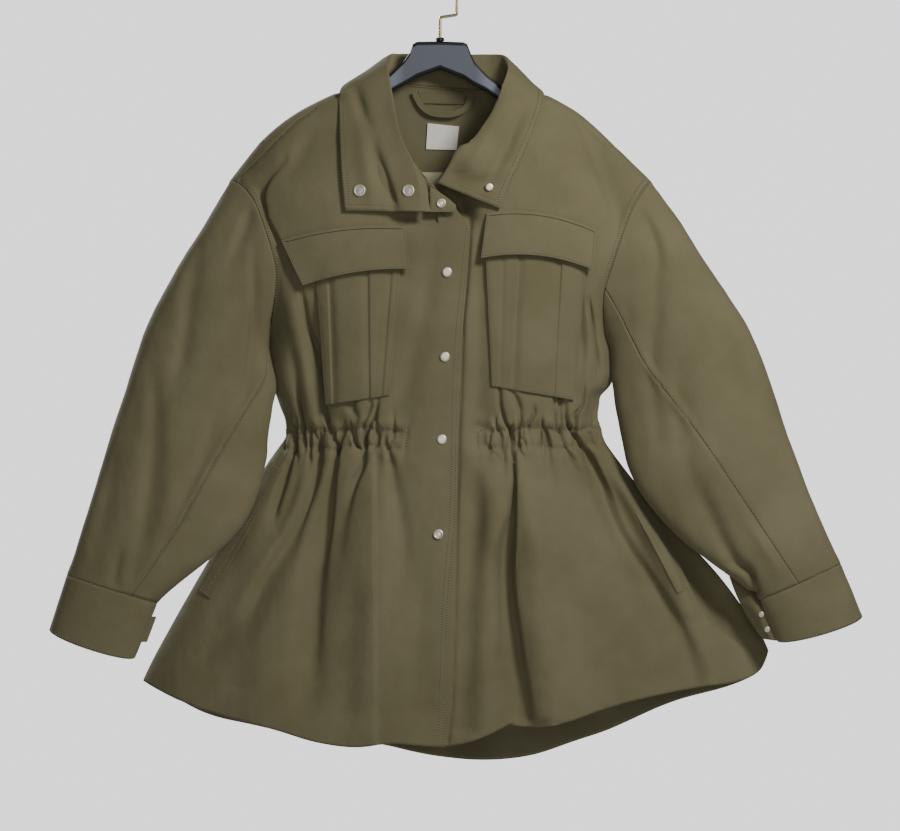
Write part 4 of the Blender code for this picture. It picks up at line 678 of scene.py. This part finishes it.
# %% Sides that touch
SIDE_PULL = {            # height and outward shift of the body's side, mm
    "r": ((-416, 0), (-436, 3), (-452, 5), (-470, 6), (-492, 5), (-508, 2), (-520, 0), (-534, -3),
          (-550, -3), (-565, 0)),
    "l": ((-412, 0), (-430, 3), (-452, 8), (-478, 8), (-492, 3), (-508, -9), (-530, -9), (-546, -2),
          (-562, 0), (-600, 1), (-640, 4), (-700, 4), (-760, 0)),
}
SLEEVE_PULL = {          # height and shift of the sleeve's inner side towards the body, mm
    "r": ((-416, 0), (-436, 2), (-450, 4), (-468, 6), (-486, 8), (-500, 7), (-518, 3.5), (-535, 3.5),
          (-558, 5), (-582, 9), (-600, 9), (-648, 8), (-690, 5), (-735, 0)),
    "l": ((-412, 0), (-440, 2), (-478, 2), (-500, 0), (-530, 0), (-560, 3), (-590, 9), (-625, 13),
          (-665, 13), (-702, 9), (-730, 2), (-746, 0)),
}
SLEEVE_INNER = {         # height and place of that inner side, mm
    "r": ((-440, -206), (-500, -204), (-558, -212), (-582, -216), (-648, -234), (-708, -290),
          (-750, -340)),
    "l": ((-440, 202), (-510, 208), (-570, 226), (-612, 244), (-666, 283), (-714, 337), (-750, 370)),
}


Edge = namedtuple("Edge", "x z out")
EDGES = {                # the shoulder and the sleeve's outer side, and how far they move out, mm
    "r": (Edge(-92, -128, 0), Edge(-108, -139, 4), Edge(-124, -150, 8), Edge(-161, -169, 9),
          Edge(-188, -188, 9), Edge(-210, -208, 9), Edge(-229, -227, 6), Edge(-247, -246, 3),
          Edge(-270, -284, 3), Edge(-293, -323, 3), Edge(-323, -372, 3), Edge(-353, -432, 3),
          Edge(-365, -462, 1), Edge(-380, -500, 0)),
    "l": (Edge(98, -130, 0), Edge(112, -141, 3), Edge(126, -150, 6), Edge(146, -160, 5),
          Edge(162, -169, 5), Edge(187, -188, 3), Edge(209, -208, 1), Edge(229, -227, 1),
          Edge(248, -246, 2), Edge(259, -265, 4), Edge(281, -294, 4), Edge(311, -342, 4),
          Edge(350, -402, 4), Edge(367, -432, 5), Edge(380, -462, 5), Edge(394, -492, 3),
          Edge(415, -552, 0)),
}
COLLAR_EDGES = {         # and the same round the top of the collar
    "r": (Edge(-48, -94, 1), Edge(-65, -102, 4), Edge(-77, -112, 4), Edge(-91, -121, 4),
          Edge(-109, -131, 3), Edge(-119, -142, 1), Edge(-121, -170, 0)),
    "l": (Edge(60, -94, 1), Edge(78, -102, 4), Edge(88, -112, 4), Edge(98, -121, 3), Edge(110, -131, 1),
          Edge(122, -141, 0)),
}
EDGE_REACH = 50.0        # how far inwards the cloth gives way to that, mm
SIDE_FROM, SIDE_WIDTH = 150, 50                # the strip of the body that gives way, mm
SLEEVE_WIDTH = 60                              # and of the sleeve, from its inner side


def draw_out(node, x, z):
    """How far the points move out at the shoulders and sleeves, along x and z."""
    move = np.zeros((len(x), 2))
    for side, sign in (("r", -1), ("l", 1)):
        drawn = {"back", "collar"} | {part + side for part in ("front_", "sleeve_upper_", "sleeve_under_")}
        if node not in drawn:
            continue
        rows = np.array((COLLAR_EDGES if node == "collar" else EDGES)[side], float)
        runs = np.diff(rows[:, :2], axis=0)
        turned_out = np.stack([-sign * runs[:, 1], sign * runs[:, 0]], -1)
        turned_out /= np.linalg.norm(turned_out, axis=1)[:, None]
        corner = np.concatenate([turned_out[:1], turned_out[:-1] + turned_out[1:], turned_out[-1:]])
        corner /= np.linalg.norm(corner, axis=1)[:, None]
        here = np.stack([x, z], -1)
        nearest = np.full(len(x), np.inf)
        best = np.zeros((len(x), 2))
        for i, run in enumerate(runs):
            t = np.clip(((here - rows[i, :2]) @ run) / (run @ run), 0, 1)[:, None]
            away = np.linalg.norm(here - rows[i, :2] - t * run, axis=1)
            out = (rows[i, 2] * (1 - t) + rows[i + 1, 2] * t) * (corner[i] * (1 - t) + corner[i + 1] * t)
            closer = away < nearest
            nearest[closer], best[closer] = away[closer], out[closer]
        t = np.clip(1 - nearest / EDGE_REACH, 0, 1)[:, None]
        move += best * t * t * (3 - 2 * t)
    return move


def at_height(rows, z):
    rows = np.array(sorted(rows), float)
    return smooth(z, rows[:, 0], rows[:, 1])


def pull_sides(node, mesh):
    """Move the sides of the body and of the sleeves to where they touch."""
    points = column(mesh, "co") / MM
    x, z = points[:, 0].copy(), points[:, 2]
    for side, sign in (("r", -1), ("l", 1)):
        if node == "back" or node == "front_" + side:
            t = np.clip((sign * x - SIDE_FROM) / SIDE_WIDTH, 0, 1)
            points[:, 0] += sign * at_height(SIDE_PULL[side], z) * t * t * (3 - 2 * t)
        elif node in ("sleeve_upper_" + side, "sleeve_under_" + side):
            away = sign * (x - at_height(SLEEVE_INNER[side], z))
            share = np.clip(1 - away / SLEEVE_WIDTH, 0, 1) ** 2
            points[:, 0] -= sign * at_height(SLEEVE_PULL[side], z) * share
    points[:, [0, 2]] += draw_out(node, x, z)
    mesh.vertices.foreach_set("co", (points * MM).ravel())
    mesh.update()


# %% Sheets
sheets = {}
for cloth in CLOTHS:
    wall = LABEL_WALL if cloth.node == "label" else WALL
    sheets[cloth.node] = subdivided(outer_face(cloth.node, looks(cloth.node), wall), cloth.levels)
    pull_sides(cloth.node, sheets[cloth.node])
print(sum(len(mesh.polygons) for mesh in sheets.values()), "faces in the open sheets")

# %% [markdown]
# The tab of a cuff is the underlap that its snaps close on. The right one is mostly tucked in behind
# its cuff, so it is made smaller about its lower end. The left one fills the open vent between the
# cuff and the skirt: its four corners are put where they show, and the rest follows evenly.

# %% Tabs of the cuffs
TUCKED_AT, TUCKED_BACK, TUCKED_SIZE = (-352, -785), 2, (0.5, 0.55)    # x, z; y; shares of x and z, mm
TAB_LOW = ((386, -796), (404, -798))           # lower corners, inner and outer, x and z in mm
TAB_HIGH = ((345, -714), (384, -742))          # upper corners
TAB_BEND = 22.0                                # how far its inner edge follows the skirt's, mm
TAB_FRONT, TAB_TURN, TAB_TUCK = -42.0, -15.0, 16.0     # y of its inner edge, and what is added to it
TURN_SHARE, TUCK_FROM = 0.55, 0.6              # the inner part that turns, the upper part that tucks in


def replaced_points(node, points):
    sheets[node].vertices.foreach_set("co", (points * MM).ravel())
    sheets[node].update()


points = column(sheets["cuff_tab_r"], "co") / MM
points = np.stack([TUCKED_AT[0] + TUCKED_SIZE[0] * (points[:, 0] - TUCKED_AT[0]),
                   points[:, 1] + TUCKED_BACK,
                   TUCKED_AT[1] + TUCKED_SIZE[1] * (points[:, 2] - TUCKED_AT[1])], -1)
replaced_points("cuff_tab_r", points)

points = column(sheets["cuff_tab_l"], "co") / MM
up = (points[:, 2] - points[:, 2].min()) / np.ptp(points[:, 2])
low_x, high_x = points[up < 0.02, 0], points[up > 0.98, 0]
across = (points[:, 0] - low_x.min() - up * (high_x.min() - low_x.min())) / np.ptp(low_x)
across, rise = np.clip(across, 0, 1)[:, None], up[:, None]
low, high = [np.array(inner) * (1 - across) + np.array(outer) * across
             for inner, outer in (TAB_LOW, TAB_HIGH)]
points[:, [0, 2]] = low * (1 - rise) + high * rise
points[:, 0] -= TAB_BEND * ((1 - across) * rise * (1 - rise))[:, 0]
turned_share = np.clip(across[:, 0] / TURN_SHARE, 0, 1)
tucked_share = np.clip((up - TUCK_FROM) / (1 - TUCK_FROM), 0, 1) ** 1.5
points[:, 1] = TAB_FRONT + TAB_TURN * turned_share + TAB_TUCK * tucked_share
replaced_points("cuff_tab_l", points)
print("left tab", np.round(np.ptp(points, axis=0), 1), "mm wide, deep and high")

# %% [markdown]
# ## Seams
# The CAD leaves a gap of about a millimetre between two sewn pieces. Every point on a sheet's edge
# that has another sheet's edge close by is a seam point. The folds fade out towards the seams, and
# then each side is drawn out to the middle of the gap, a little sunk, as stitched cloth is. The
# two sheets stay apart as pieces: welding them would lose the names that the coat is cut by.

# %% Seam tools
SEAM_REACH = 8.0         # another panel's edge nearer than this makes a seam, mm
COLLAR_REACH = 4.0       # and the same beside the collar
SEAM_CALM = 11.0         # width over which the folds fade out beside a seam
SEAM_SINK = 0.45
SEAM_LAP = 0.25          # how far past the middle of the gap each side goes


def rim_of(mesh):
    """Each edge point of an open sheet: its index, place, outward direction and neighbours."""
    bm = bmesh.new()
    bm.from_mesh(mesh)
    rim = {}
    for v in bm.verts:
        if v.is_boundary:
            centre = sum((f.calc_center_median() for f in v.link_faces), Vector()) / len(v.link_faces)
            out = v.co - centre
            out -= v.normal * out.dot(v.normal)
            beside = [e.other_vert(v).index for e in v.link_edges if e.is_boundary]
            rim[v.index] = (v.co.copy(), out.normalized(), beside)
    bm.free()
    return rim


def tree_of(places):
    tree = KDTree(max(1, len(places)))
    for i, place in enumerate(places):
        tree.insert(place, i)
    tree.balance()
    return tree


rims = {node: rim_of(mesh) for node, mesh in sheets.items()}


def rim_places(node):
    """The edge's points and three more places between each two of them."""
    rim = rims[node]
    return [place.lerp(rim[other][0], t) for place, _, beside in rim.values() for other in beside
            for t in (0, 0.25, 0.5)]


edge_trees = {node: tree_of(rim_places(node)) for node in SEWN}


def seam_points(node):
    """Edge points with a neighbour, and the way to the neighbour's edge."""
    found = {}
    others = [other for other in SEWN if other != node and {node, other} != {"front_r", "front_l"}]
    for index, (place, _, _) in rims[node].items():
        hits = [(edge_trees[other].find(place), "collar" in (node, other)) for other in others]
        (near, _, away), by_collar = min(hits, key=lambda hit: hit[0][2])
        if away < (COLLAR_REACH if by_collar else SEAM_REACH) * MM:
            found[index] = near - place
    return found


seams = {node: seam_points(node) for node in SEWN}
seam_trees = {node: tree_of([rims[node][i][0] for i in seams[node]]) for node in SEWN}
print({node: len(found) for node, found in seams.items()}, "seam points")


def calm(node, points):
    """0 on the seams of a sewn piece, 1 beyond their calm strip; points in mm."""
    tree = seam_trees[node]
    away = np.array([tree.find(Vector(p) * MM)[2] / MM for p in points])
    t = np.clip(away / SEAM_CALM, 0, 1)
    return t * t * (3 - 2 * t)


def close_seams(node):
    """Draw the seam points out to the middle of their gap, and sink them a little."""
    mesh = sheets[node]
    places, normals = column(mesh, "co"), column(mesh, "normal")
    for index, way in seams[node].items():
        out = rims[node][index][1] * SEAM_LAP * MM
        places[index] += np.array(way) / 2 + np.array(out) - normals[index] * SEAM_SINK * MM
    mesh.vertices.foreach_set("co", places.ravel())
    mesh.update()


# %% [markdown]
# Besides its folds, worn cotton has slack that follows no rule. Noise stretched along the hang gives
# it, coarse and fine. The sum for one piece is a function of its points, because it is wanted twice:
# first to find where the sheet needs more points, and then to press it.

# %% What presses on each piece
WELT_SUNK = {"welt_r": 1.1, "welt_l": 2.0}     # the welts lie nearly flush, mm
SLACK = {                # depth, size across, size along, all mm, and a seed; coarse, then fine
    "front": ((0.8, 24.0, 70.0, 3.0), (0.3, 9.0, 20.0, 13.0)),
    "back": ((0.9, 30.0, 80.0, 8.0), (0.3, 9.0, 20.0, 17.0)),
    "sleeve": ((1.1, 34.0, 60.0, 5.0), (0.3, 10.0, 22.0, 15.0)),
    "collar": ((0.5, 20.0, 30.0, 6.0),),
    "small": ((0.3, 14.0, 22.0, 6.0),),
}


def slack(kind, points):
    return sum(deep * slow_noise(points, across, along, seed) for deep, across, along, seed in SLACK[kind])


def depth_of(node):
    """Folds, pinches and slack on one piece, as a function of its points in mm."""
    def front(points, panel=node):
        x, z = points[:, 0], points[:, 2]
        own = LEFT_FRONT_FOLDS if panel == "front_l" else RIGHT_FRONT_FOLDS
        total = (folded(FRONT_FOLDS, x, z) + folded(WAIST_CREASES, x, z) + folded(own, x, z)
                 + folded(front_pinches, x, z) + cinched(FRONT_ELASTIC, x, z))
        seam = folded(SHOULDER_SEAM, x, z) if panel == "front_r" else 0
        return (total + slack("front", points)) * calm(panel, points) + seam

    def back(points):
        x, z = points[:, 0], points[:, 2]
        total = folded(BACK_FOLDS, x, z) + folded(back_pinches, x, z) + cinched(BACK_ELASTIC, x, z)
        behind = np.clip(points[:, 1] / 20, 0, 1)        # the back's folds end at its sides
        return (total + slack("back", points)) * calm(node, points) * behind

    def sleeve(points):
        near = np.clip((-points[:, 1] + 10) / 30, 0, 1)  # 1 on the side that faces the camera
        far = 0.7 * folded(SLEEVE_FOLDS, points[:, 0] * 0.98, points[:, 2] + 24) * (1 - near)
        total = folded(SLEEVE_FOLDS, points[:, 0], points[:, 2]) * near + far
        return (total + slack("sleeve", points)) * calm(node, points)

    def collar(points):
        near = np.clip((-points[:, 1] - 4) / 20, 0, 1)
        total = folded(COLLAR_FOLDS, points[:, 0], points[:, 2]) * near
        return (total + slack("collar", points)) * calm(node, points)

    def welt(points):
        return 0.8 * front(points, "front" + node[4:]) + WELT_SUNK[node]

    def small(points):
        return slack("small", points) + folded(PLEATS.get(node, ()), points[:, 0], points[:, 2])

    kinds = {"front": front, "back": back, "sleeve": sleeve, "collar": collar, "welt": welt}
    return small if node == "back_lining" else kinds.get(node.split("_")[0], small)


# %% Panels
for cloth in CLOTHS:
    depth = depth_of(cloth.node)
    if cloth.node in SEWN:
        refined(sheets[cloth.node], depth, STEEP.get(cloth.node.split("_")[0], STEEP_ELSEWHERE))
    press(sheets[cloth.node], depth)
for node in SEWN:
    close_seams(node)
for cloth in CLOTHS:
    material, slot = shell_cloth, "shell_cloth"
    if cloth.node == "label":
        material, slot = label_tape, "label_tape"
    if cloth.node == "back_lining":
        material, slot = lining_cloth, "lining_cloth"
    made = with_wall(sheets[cloth.node], LABEL_WALL if cloth.node == "label" else WALL)
    piece = finished(cloth.node + "_cloth", made, material, slot, cloth.node,
                     sharp=180 if cloth.node in SEWN else 50)
    one_side = sum(face.area for face in made.polygons) / 2
    print(cloth.node, len(made.polygons), "faces,", round(one_side, 5), "m2,",
          round(one_side / (cloth.area or cloth.wide * cloth.long), 2), "of its cut")

# %% [markdown]
# ## Stitching
# Rows of lockstitch run beside the edges and seams. A row is found by walking along a sheet's edge
# between two places and moving in by its distance. A stitch shows as a small grain of thread, and
# the needle hole beside it as a darker grain, which is painted shade. The points carry their
# direction and the cloth's normal, for Geometry Nodes to put a grain on each.

# %% Stitch rows
STITCH_PITCH = 3.2
BAR_PITCH = 1.0          # a bartack is a short row of very close stitches
# a ditch row is all dark grains of painted shade, with no thread
DITCH_PITCH = 2.4        # a seam sewn from inside shows as a dark ditch, with no thread
points_of_rows = []      # place, direction, normal
painted_hole_shades = []        # the same, between two stitches
surfaces = {node: BVHTree.FromPolygons([v.co for v in mesh.vertices],
                                       [list(p.vertices) for p in mesh.polygons])
            for node, mesh in sheets.items()}


def even_points(path, pitch):
    """Places every pitch along a path, with the direction there."""
    path = np.array(path)
    steps = np.linalg.norm(np.diff(path, axis=0), axis=1)
    where = np.concatenate([[0], np.cumsum(steps)])
    count = max(2, int(where[-1] / (pitch * MM)))
    at = (np.arange(count) + 0.5) * where[-1] / count
    spots = np.stack([np.interp(at, where, path[:, k]) for k in range(3)], -1)
    ahead = np.stack([np.interp(at + 0.3 * MM, where, path[:, k]) for k in range(3)], -1)
    behind = np.stack([np.interp(at - 0.3 * MM, where, path[:, k]) for k in range(3)], -1)
    return spots, ahead - behind


def sew(node, path, pitch=STITCH_PITCH):
    """Lay stitches along a path, on the sheet's face, with a dark grain of painted shade for the needle
    hole between each two.
    """
    for i, (spot, run) in enumerate(zip(*even_points(path, pitch / 2))):
        place, normal, _, _ = surfaces[node].find_nearest(Vector(spot))
        if place is not None:
            dark = i % 2 or pitch == DITCH_PITCH
            (painted_hole_shades if dark else points_of_rows).append((place, Vector(run).normalized(), normal))


def edge_row(node, inset, start, via, stop, pitch=STITCH_PITCH):
    """A row beside the sheet's edge, from start past via to stop, each x, y, z in mm."""
    rim = rims[node]
    mesh = sheets[node]

    def nearest(place):
        return min(rim, key=lambda i: (rim[i][0] / MM - Vector(place)).length)

    first, through, last = nearest(start), nearest(via), nearest(stop)
    for beside in rim[first][2]:
        walk = [first, beside]
        while walk[-1] not in (first, last) or len(walk) == 2 and walk[-1] == first:
            steps = [i for i in rim[walk[-1]][2] if i != walk[-2]]
            if not steps or len(walk) > len(rim):
                break
            walk.append(steps[0])
        if through in walk and walk[-1] == last:
            path = np.array([mesh.vertices[i].co - rim[i][1] * inset * MM for i in walk])
            for _ in range(6):
                path[1:-1] = (path[:-2] + 2 * path[1:-1] + path[2:]) / 4
            sew(node, path, pitch)
            return
    print("no way round", node, start, stop)


def seen_row(node, pitch, *corners):
    """A row along corners given as x, z in mm, laid on the sheet from the front."""
    path = []
    for (x0, z0), (x1, z1) in zip(corners, corners[1:]):
        for t in np.linspace(0, 1, 12):
            start = Vector((x0 + (x1 - x0) * t, -200, z0 + (z1 - z0) * t)) * MM
            hit = surfaces[node].ray_cast(start, Vector((0, 1, 0)))[0]
            if hit is not None:
                path.append(hit)
    if len(path) > 1:
        sew(node, path, pitch)


NARROW, WIDE = 2.2, 7.5  # the two rows of a twin-needle seam, from the edge, mm
for inset in (NARROW, WIDE):
    edge_row("front_r", inset, (36, -70, -306), (20, -70, -600), (5, -90, -924))
    edge_row("collar", inset, (-40, -72, -286), (7, 44, -147), (20, -68, -262))
    for half, sign in (("r", -1), ("l", 1)):
        edge_row("front_" + half, inset, (sign * 250, 0, -248), (sign * 200, -40, -350),
                 (sign * 202, 0, -438))
        edge_row("back", inset, (sign * 250, 0, -248), (sign * 226, 40, -350), (sign * 202, 0, -438))
edge_row("flap_r", NARROW, (-190, -60, -319), (-100, -70, -367), (-42, -60, -303))
edge_row("flap_l", NARROW, (56, -60, -287), (120, -70, -340), (187, -60, -306))
# the ditch under each flap's top edge, as dark grains of painted shade
edge_row("flap_r", 4.0, (-190, -60, -319), (-116, -60, -305), (-42, -60, -303), DITCH_PITCH)
edge_row("flap_l", 4.0, (56, -60, -287), (120, -60, -290), (187, -60, -306), DITCH_PITCH)
edge_row("pocket_r", NARROW, (-150, -60, -345), (-98, -70, -510), (-45, -60, -330))
edge_row("pocket_l", NARROW, (54, -60, -322), (110, -70, -500), (176, -60, -332))
edge_row("sleeve_upper_r", NARROW, (-206, -40, -440), (-300, -80, -600), (-346, -75, -748))
edge_row("sleeve_upper_l", NARROW, (199, -40, -400), (330, -70, -560), (424, -78, -735))
for half, sign in (("r", -1), ("l", 1)):
    edge_row("back", NARROW, (sign * 246, -4, -248), (sign * 150, -6, -168), (sign * 76, -10, -136))
edge_row("cuff_r", NARROW, (-465, -55, -784), (-415, -90, -806), (-366, -55, -817))
edge_row("cuff_l", NARROW, (505, -55, -768), (455, -90, -790), (403, -55, -797))
edge_row("loop_patch", 1.8, (-26, 20, -136), (3, 20, -150), (31, 20, -137))
edge_row("loop_patch", 1.8, (-26, 20, -136), (3, 20, -136), (31, 20, -137))
edge_row("facing_corner_r", NARROW, (-11, -70, -258), (4, -70, -286), (20, -70, -284))
# the shoulder seam, which lies forward of the shoulder's edge, its ditch drawn as dark grains of painted
# shade
seen_row("front_r", DITCH_PITCH, (-148, -158), (-172, -175), (-194, -196), (-213, -216), (-228, -230),
         (-241, -242))
# stitched ends of the elastic's casing, and the bartacks of the welt pockets
seen_row("front_r", STITCH_PITCH, (-40, -546), (-39, -568))
seen_row("front_l", STITCH_PITCH, (46, -546), (46, -568))
seen_row("front_r", STITCH_PITCH, (-90, -546), (-40, -546))
seen_row("front_l", STITCH_PITCH, (46, -546), (80, -546))
seen_row("welt_r", BAR_PITCH, (-202, -588), (-191, -594))
seen_row("welt_r", BAR_PITCH, (-289, -737), (-277, -746))
seen_row("welt_r", STITCH_PITCH, (-196, -600), (-279, -738))
seen_row("welt_l", BAR_PITCH, (283, -739), (296, -734), (292, -724))
print(len(points_of_rows), "stitches")

# %% [markdown]
# Each point becomes a grain, turned along the row and flat on the cloth. There are thousands, all
# alike, which is what instancing on points is for; a copy by script of each would be slow. A grain
# is smaller than a pixel, so a dozen faces are enough for it.

# %% Stitches by Geometry Nodes


def stitch_tree():
    tree = bpy.data.node_groups.new("stitches", "GeometryNodeTree")
    tree.interface.new_socket("Geometry", in_out="INPUT", socket_type="NodeSocketGeometry")
    for name in ("Length", "Width", "Height"):
        tree.interface.new_socket(name, in_out="INPUT", socket_type="NodeSocketFloat")
    tree.interface.new_socket("Thread", in_out="INPUT", socket_type="NodeSocketMaterial")
    tree.interface.new_socket("Geometry", in_out="OUTPUT", socket_type="NodeSocketGeometry")
    given = add(tree, "NodeGroupInput")
    along = add(tree, "GeometryNodeInputNamedAttribute", {"Name": "along"}, data_type="FLOAT_VECTOR")
    out = add(tree, "GeometryNodeInputNamedAttribute", {"Name": "out"}, data_type="FLOAT_VECTOR")
    turned = add(tree, "FunctionNodeAlignRotationToVector", links=[("Vector", along, 0)], axis="X")
    upright = add(tree, "FunctionNodeAlignRotationToVector",
                  links=[("Rotation", turned, "Rotation"), ("Vector", out, 0)],
                  axis="Z", pivot_axis="X")
    grain = add(tree, "GeometryNodeMeshUVSphere", {"Segments": 6, "Rings": 2, "Radius": 0.5})
    soft = add(tree, "GeometryNodeSetShadeSmooth", links=[("Geometry", grain, "Mesh")])
    size = add(tree, "ShaderNodeCombineXYZ", links=[("X", given, "Length"), ("Y", given, "Width"),
                                                    ("Z", given, "Height")])
    placed = add(tree, "GeometryNodeInstanceOnPoints",
                 links=[("Points", given, "Geometry"), ("Instance", soft, "Geometry"),
                        ("Rotation", upright, "Rotation"), ("Scale", size, "Vector")])
    real = add(tree, "GeometryNodeRealizeInstances", links=[("Geometry", placed, "Instances")])
    dyed = add(tree, "GeometryNodeSetMaterial", links=[("Geometry", real, "Geometry"),
                                                       ("Material", given, "Thread")])
    add(tree, "NodeGroupOutput", links=[("Geometry", dyed, "Geometry")])
    return tree


def stitched(name, rows, length, width, height, material, slot="shell_cloth"):
    """A plain mesh of grains, one for each point."""
    mesh = bpy.data.meshes.new(name)
    mesh.from_pydata([place for place, _, _ in rows], [], [])
    for key, k in (("along", 1), ("out", 2)):
        layer = mesh.attributes.new(key, "FLOAT_VECTOR", "POINT")
        layer.data.foreach_set("vector", np.array([row[k] for row in rows]).ravel())
    holder = bpy.data.objects.new("holder", mesh)
    bpy.context.scene.collection.objects.link(holder)
    tree = stitch_tree()
    modifier = holder.modifiers.new("stitches", "NODES")
    modifier.node_group = tree
    sockets = {s.name: s.identifier for s in tree.interface.items_tree if s.in_out == "INPUT"}
    modifier[sockets["Length"]] = length * MM
    modifier[sockets["Width"]] = width * MM
    modifier[sockets["Height"]] = height * MM
    modifier[sockets["Thread"]] = material
    made = bpy.data.meshes.new_from_object(holder.evaluated_get(bpy.context.evaluated_depsgraph_get()))
    bpy.data.objects.remove(holder)
    return finished(name, made, material, slot)


# length, width and height of a grain, mm
stitches = stitched("topstitching", points_of_rows, 2.4, 0.85, 0.7, thread)
# dark grains of painted shade, in the needle holes and seam ditches
shade_grains = stitched("painted_hole_shades", painted_hole_shades, 1.5, 1.15, 0.4, painted_hole_shade)
print(len(stitches.data.polygons), "faces of thread,", len(shade_grains.data.polygons), "of holes")

# %% [markdown]
# ## Snaps
# A snap is pressed from sheet brass into a round cap, socket or ring, so a profile spun round an
# axis gives it exactly, and the Screw modifier does that. The CAD node gives its place: the axis
# is the direction in which its points spread least, or most, unlike the other two.

# %% Snap profiles
# share of the radius, and height above the cloth in mm
CAP = ((0.0, 2.1), (0.45, 2.1), (0.72, 2.02), (0.88, 1.75), (0.97, 1.25), (1.0, 0.75), (0.98, 0.4),
       (0.9, 0.3), (0.0, 0.3))
SOCKET = ((0.0, 1.5), (0.5, 1.5), (0.58, 1.4), (0.6, 0.6), (0.68, 0.6), (0.7, 1.7), (0.74, 1.9),
          (0.9, 1.9), (0.97, 1.6), (1.0, 1.0), (0.98, 0.35), (0.0, 0.3))
RING = ((0.0, 1.1), (0.34, 1.1), (0.42, 0.9), (0.5, 0.9), (0.6, 1.7), (0.78, 2.1), (0.93, 1.7),
        (1.0, 1.0), (0.98, 0.35), (0.0, 0.3))
SIDES = 40
SEATED = 0.3             # how deep a snap sits in the cloth, mm
KINDS = {"snap_collar_1": SOCKET, "snap_collar_2": SOCKET, "snap_lapel": RING, "snap_front_4": RING}


def turned(name, profile, radius):
    """The profile, spun into a closed mesh, in metres."""
    mesh = bpy.data.meshes.new(name)
    links = [(i, i + 1) for i in range(len(profile) - 1)]
    mesh.from_pydata([(r * radius, 0.0, h * MM) for r, h in profile], links, [])
    return evaluated(mesh, "SCREW", steps=SIDES, render_steps=SIDES, use_merge_vertices=True,
                     merge_threshold=0.001 * MM)


def seat_of(node):
    """Where a snap's base lies on its axis, the axis, and its radius."""
    points = column(nodes[node].data, "co")
    middle = (points.max(0) + points.min(0)) / 2
    values, axes = np.linalg.eigh(np.cov((points - points.mean(0)).T))
    odd = 0 if values[1] - values[0] > values[2] - values[1] else 2
    axis = axes[:, odd] * (-1 if axes[1, odd] > 0 else 1)
    along = (points - middle) @ axis
    radius = np.linalg.norm(points - middle - np.outer(along, axis), axis=1).max()
    return Vector(middle + axis * along.min()), Vector(axis), radius


for node in sorted(nodes):
    if node.startswith("snap_"):
        base, axis, radius = seat_of(node)
        made = turned(node, KINDS.get(node, CAP), radius)
        turn = axis.to_track_quat("Z", "Y").to_matrix().to_4x4()
        made.transform(Matrix.Translation(base - axis * SEATED * MM) @ turn)
        finished(node + "_turned", made, snap_metal, "snap_metal", node, sharp=35)
print("snaps turned with", SIDES, "sides")

# %% [markdown]
# ## The hanger
# The hanger is a flat moulding with a rounded rim, a ferrule and a bent rod. These are simple,
# rigid shapes that the CAD solids already give in full, so they keep them and get their finishes.

# %% Hanger
for node, material in (("hanger_body", hanger_plastic), ("hanger_hook", hook_metal),
                       ("hanger_ferrule", ferrule_plastic)):
    for slot in nodes[node].material_slots:
        slot.material = material
    print(node, "is now", material.name)

# %% [markdown]
# ## Light and camera
# A pale room: a soft key light from the upper right, a weaker fill, and a light from behind that
# grazes the back. The backdrop is the room's own light, so nothing hides the coat from any side.

# %% Stage
ROOM = "#d6d6d8"
ROOM_LIGHT = 0.17        # strength of the room's light on the coat
ROOM_SEEN = 2.4          # and as the camera sees it behind the coat
FLOOR_RADIUS, FLOOR_Z = 2.4, -1.62       # the coat hangs 0.7 m above the floor
bpy.ops.mesh.primitive_circle_add(vertices=64, radius=FLOOR_RADIUS, fill_type="NGON",
                                  location=(0, 0, FLOOR_Z))
floor = bpy.context.object
floor.name = "floor"
floor.data.materials.append(worn("painted floor", FLOOR, 0.8, grain=40.0))


def area_light(name, place, target, size, watts):
    lamp = bpy.data.lights.new(name, "AREA")
    lamp.shape = "DISK"
    lamp.size = size
    lamp.energy = watts
    holder = bpy.data.objects.new(name, lamp)
    holder.location = place
    holder.rotation_euler = (Vector(target) - Vector(place)).to_track_quat("-Z", "Y").to_euler()
    bpy.context.scene.collection.objects.link(holder)


# place and aim in metres, size in metres, power in watts
area_light("key", (0.95, -1.3, 0.6), (0, 0, -0.36), 0.5, 25.5)
area_light("fill", (0.1, -3.2, -0.3), (0, 0, -0.4), 1.4, 15)
area_light("behind", (-1.9, 2.0, 0.8), (0, 0, -0.5), 1.0, 70)
world = bpy.data.worlds.new("room")
world.use_nodes = True
tree = world.node_tree
background = tree.nodes["Background"]
ray = add(tree, "ShaderNodeLightPath")
strength = add(tree, "ShaderNodeMapRange", {"To Min": ROOM_LIGHT, "To Max": ROOM_SEEN},
               [("Value", ray, "Is Camera Ray")])
tree.links.new(strength.outputs["Result"], background.inputs["Strength"])
background.inputs["Color"].default_value = linear(ROOM)
bpy.context.scene.world = world

# %% Camera
DISTANCE = 6.0           # far enough for nearly straight lines of sight
PLANE_Y = -0.03          # the plane whose scale is 1.2 mm to a pixel
MIDDLE_X, MIDDLE_Z = 0.012, -0.5286
FRAME_WIDTH = 900 * 1.2 * MM
SENSOR = 36              # mm
lens = bpy.data.cameras.new("camera")
camera = bpy.data.objects.new("camera", lens)
bpy.context.scene.collection.objects.link(camera)
bpy.context.scene.camera = camera
camera.location = (MIDDLE_X, PLANE_Y - DISTANCE, MIDDLE_Z)
camera.rotation_euler = (math.pi / 2, 0, 0)
lens.sensor_width = SENSOR
lens.lens = SENSOR * DISTANCE / FRAME_WIDTH
lens.clip_end = 50
print("lens of", round(lens.lens), "mm at", DISTANCE, "m")
